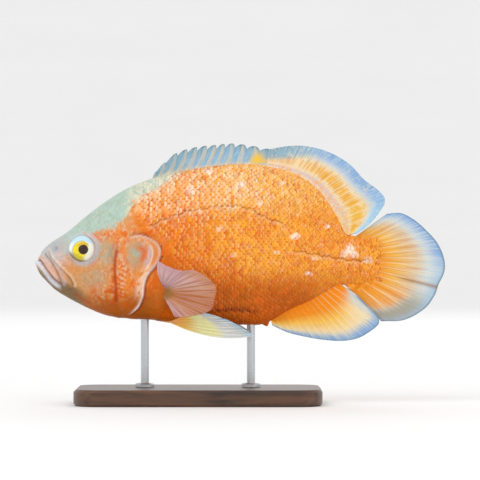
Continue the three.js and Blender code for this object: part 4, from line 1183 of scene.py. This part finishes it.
def pelvic_paint(share, out, ridges, streak, fleck):
    """Amber at the root, then lemon and white, with pale blue tips."""
    return layered(
        blend_stops(
            out + 0.14 * (streak - 0.5), (0, FIN_AMBER), (0.16, FIN_AMBER_GOLD), (0.36, FIN_LEMON),
            (0.56, FIN_LEMON), (0.68, FIN_WHITE), (0.85, FIN_WHITE), (1, FIN_CYAN),
        ),
        # White along the lower edge: a painted highlight.
        (FIN_WHITE, 0.6 * ease(share, 0.12, 0) * ease(out, 0.3, 0.6)),
        (FIN_CREAM, 0.5 * ridges),
        (FIN_DARK, 0.5 * ease(streak, 0.5, 0.72) * ease(out, 0.55, 0.8) * ease(share, 0.06, 0.2)),
    )


ROOT_DEPTH = 0.6  # how far the breast fins' rays start inside the flank
PECTORAL_RAYS = [  # share, root along and up, tip along and up, and how far the tip stands off
    (0, 78.4, -13.4, 75.4, 0.9, 9), (0.12, 79, -13.8, 81.2, -2.4, 10.5),
    (0.25, 79.6, -14.4, 89.6, -5.2, 12), (0.38, 80.1, -15.3, 97.4, -4.8, 13.5),
    (0.5, 80.4, -16.3, 105.6, -9.6, 14.5), (0.62, 80.5, -17.4, 110.2, -14.8, 14),
    (0.73, 80.5, -18.4, 109.6, -21.4, 12.5), (0.84, 80.3, -19.6, 106.8, -29, 12),
    (0.93, 79.9, -20.8, 95.6, -32.6, 9.5), (1, 79.4, -22, 85.4, -33.2, 7),
]
PELVIC_RAYS = [  # share, root along, side and up, tip along, side and up
    (0, 82.4, 5.2, -36.2, 133.4, 15.6, -44.6), (0.2, 84.2, 6.4, -35.9, 131.6, 15.6, -43.2),
    (0.45, 86.2, 8, -35.3, 126.4, 15.7, -39.8), (0.7, 88, 9.8, -34.4, 118.6, 15.9, -35.6),
    (0.85, 89.4, 11.2, -33.5, 111.6, 16.2, -33), (1, 90.4, 12.4, -32.5, 104.4, 16.6, -30.6),
]
# Breast fins as the thinnest cast: a little of what lies behind shows through.
clear_fins = wet_finish(
    "varnished_resin_clear_fins", roughness=0.4, coat=0.08, speck_size=0.4, bump_depth=0.04
)
set_inputs(clear_fins.node_tree.nodes["Principled BSDF"], {"Alpha": 0.72})
for side_name, side in SIDES:
    breast_keys = [
        (share, (a, side * (float(flank_side(a, b)) - ROOT_DEPTH), b),
         (c, side * (float(flank_side(c, d)) + stand_off), d))
        for share, a, b, c, d, stand_off in PECTORAL_RAYS
    ]
    breast = fin_piece(
        f"pectoral_{side_name}", breast_keys, 13, pectoral_paint, rows=50, per_ray=16,
        forks=((0.08, 0.26), (0.3, 0.12)), root_half=0.7, edge_half=0.1, ridge=0.26, sink=0.12,
        bend=lambda s, o, side=side: (-6.4 * (1 - s) ** 3 * o * (1 - o), side * 1.6 * o * (1 - o), 0),
    )
    breast.data.materials.append(clear_fins)
    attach(breast, "root")
    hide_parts(f"pectoral_fin_{side_name}")
    belly_keys = [(row[0], (row[1], side * row[2], row[3]), (row[4], side * row[5], row[6]))
                  for row in PELVIC_RAYS]
    belly = fin_piece(
        f"pelvic_{side_name}", belly_keys, 6, pelvic_paint, rows=50, per_ray=18, ridge=0.35, sink=0.08,
        bend=lambda s, o, side=side: (0, side * 1.2 * o * (1 - o), -19 * (1 - s) ** 1.6 * o * (1 - o)),
    )
    belly.data.materials.append(varnished_fins)
    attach(belly, "root")
    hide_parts(f"pelvic_fin_{side_name}")


# The stand: a bevelled slab of dark hardwood with two turned steel rods screwed up through it.
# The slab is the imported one; the rods are turned again with finer edges on their collars.
GRAIN_LENGTH = 62.5 * MM
PORE_LENGTH = 6.25 * MM
GRAIN_RATIO = 9  # how much longer than wide streaks and pores are

# Satin walnut: dark streaks along the slab, fine open pores, and a thin sheen from wax.
satin_walnut, shader = new_material("satin_walnut")
grain_place = add_node(satin_walnut, "ShaderNodeTexCoord")
stretched = add_node(
    satin_walnut, "ShaderNodeMapping",
    {"Vector": grain_place.outputs["Object"], "Scale": (1, GRAIN_RATIO, GRAIN_RATIO)},
)
growth = add_node(
    satin_walnut, "ShaderNodeTexNoise",
    {"Vector": stretched.outputs["Vector"], "Scale": 1 / GRAIN_LENGTH, "Detail": 5.0, "Distortion": 1.2},
)
pores = add_node(
    satin_walnut, "ShaderNodeTexNoise",
    {"Vector": stretched.outputs["Vector"], "Scale": 1 / PORE_LENGTH, "Detail": 2.0},
)
wood_tone = add_node(satin_walnut, "ShaderNodeValToRGB", {"Fac": growth.outputs["Fac"]})
for stop, place, shade in zip(wood_tone.color_ramp.elements, (0.32, 0.7), ("#2b1a10", "#6b4429")):
    stop.position = place
    stop.color = (*linear(shade), 1)
wood_dents = add_node(
    satin_walnut, "ShaderNodeBump",
    {"Height": pores.outputs["Fac"], "Strength": 0.4, "Distance": 0.1 * MM},
)
set_inputs(shader, {
    "Base Color": wood_tone.outputs["Color"], "Roughness": 0.38, "Normal": wood_dents.outputs["Normal"],
    "Coat Weight": 0.2, "Coat Roughness": 0.25,
})
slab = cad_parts["stand_base"]
slab.data.materials.clear()
slab.data.materials.append(satin_walnut)

MARKS_ROUND = 3 / (50 * MM)  # three in 50 mm round the rod
MARK_RATIO = 60  # and this many times more along it, so that the rings are 0.28 mm apart

# Turned steel: bright, with fine rings left by the lathe that draw its reflections out.
turned_steel, shader = new_material("turned_steel")
steel_place = add_node(turned_steel, "ShaderNodeTexCoord")
lathe_marks = add_node(
    turned_steel, "ShaderNodeMapping",
    {"Vector": steel_place.outputs["Object"], "Scale": (1, 1, MARK_RATIO)},
)
scratches = add_node(
    turned_steel, "ShaderNodeTexNoise", {"Vector": lathe_marks.outputs["Vector"], "Scale": MARKS_ROUND}
)
steel_gloss = add_node(
    turned_steel, "ShaderNodeMapRange", {"Value": scratches.outputs["Fac"], "To Min": 0.2, "To Max": 0.42}
)
steel_dents = add_node(
    turned_steel, "ShaderNodeBump",
    {"Height": scratches.outputs["Fac"], "Strength": 0.3, "Distance": 0.02 * MM},
)
set_inputs(shader, {
    "Base Color": (*linear("#c4c6c9"), 1), "Metallic": 1.0, "Roughness": steel_gloss.outputs["Result"],
    "Normal": steel_dents.outputs["Normal"],
})
ROD_SIDES = 48
ROD_RADIUS = 2.5 * MM
FOOT_HEIGHT = 2.4 * MM
for end in ("front", "rear"):
    low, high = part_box(f"stand_rod_{end}")
    collar = (high.x - low.x) / 2
    foot_top = low.z + FOOT_HEIGHT
    outline = [
        (0, low.z), (collar, low.z), (collar, low.z + FOOT_HEIGHT * 0.7), (collar - 0.8 * MM, foot_top),
        (ROD_RADIUS + 0.3 * MM, foot_top), (ROD_RADIUS, foot_top + 0.4 * MM), (ROD_RADIUS, high.z),
        (0, high.z),
    ]
    turned = spun([(radius, 0, z) for radius, z in outline], ROD_SIDES)
    bmesh.ops.remove_doubles(turned, verts=turned.verts, dist=0.00001)
    bmesh.ops.recalc_face_normals(turned, faces=turned.faces)
    middle = (low + high) / 2
    bmesh.ops.translate(turned, verts=turned.verts, vec=(middle.x, middle.y, 0))
    rod = mesh_object(turned, f"turned_rod_{end}", turned_steel)
    crisp_edges = rod.modifiers.new("edges", "EDGE_SPLIT")
    crisp_edges.split_angle = math.radians(35)
    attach(rod, "root")
    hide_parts(f"stand_rod_{end}")
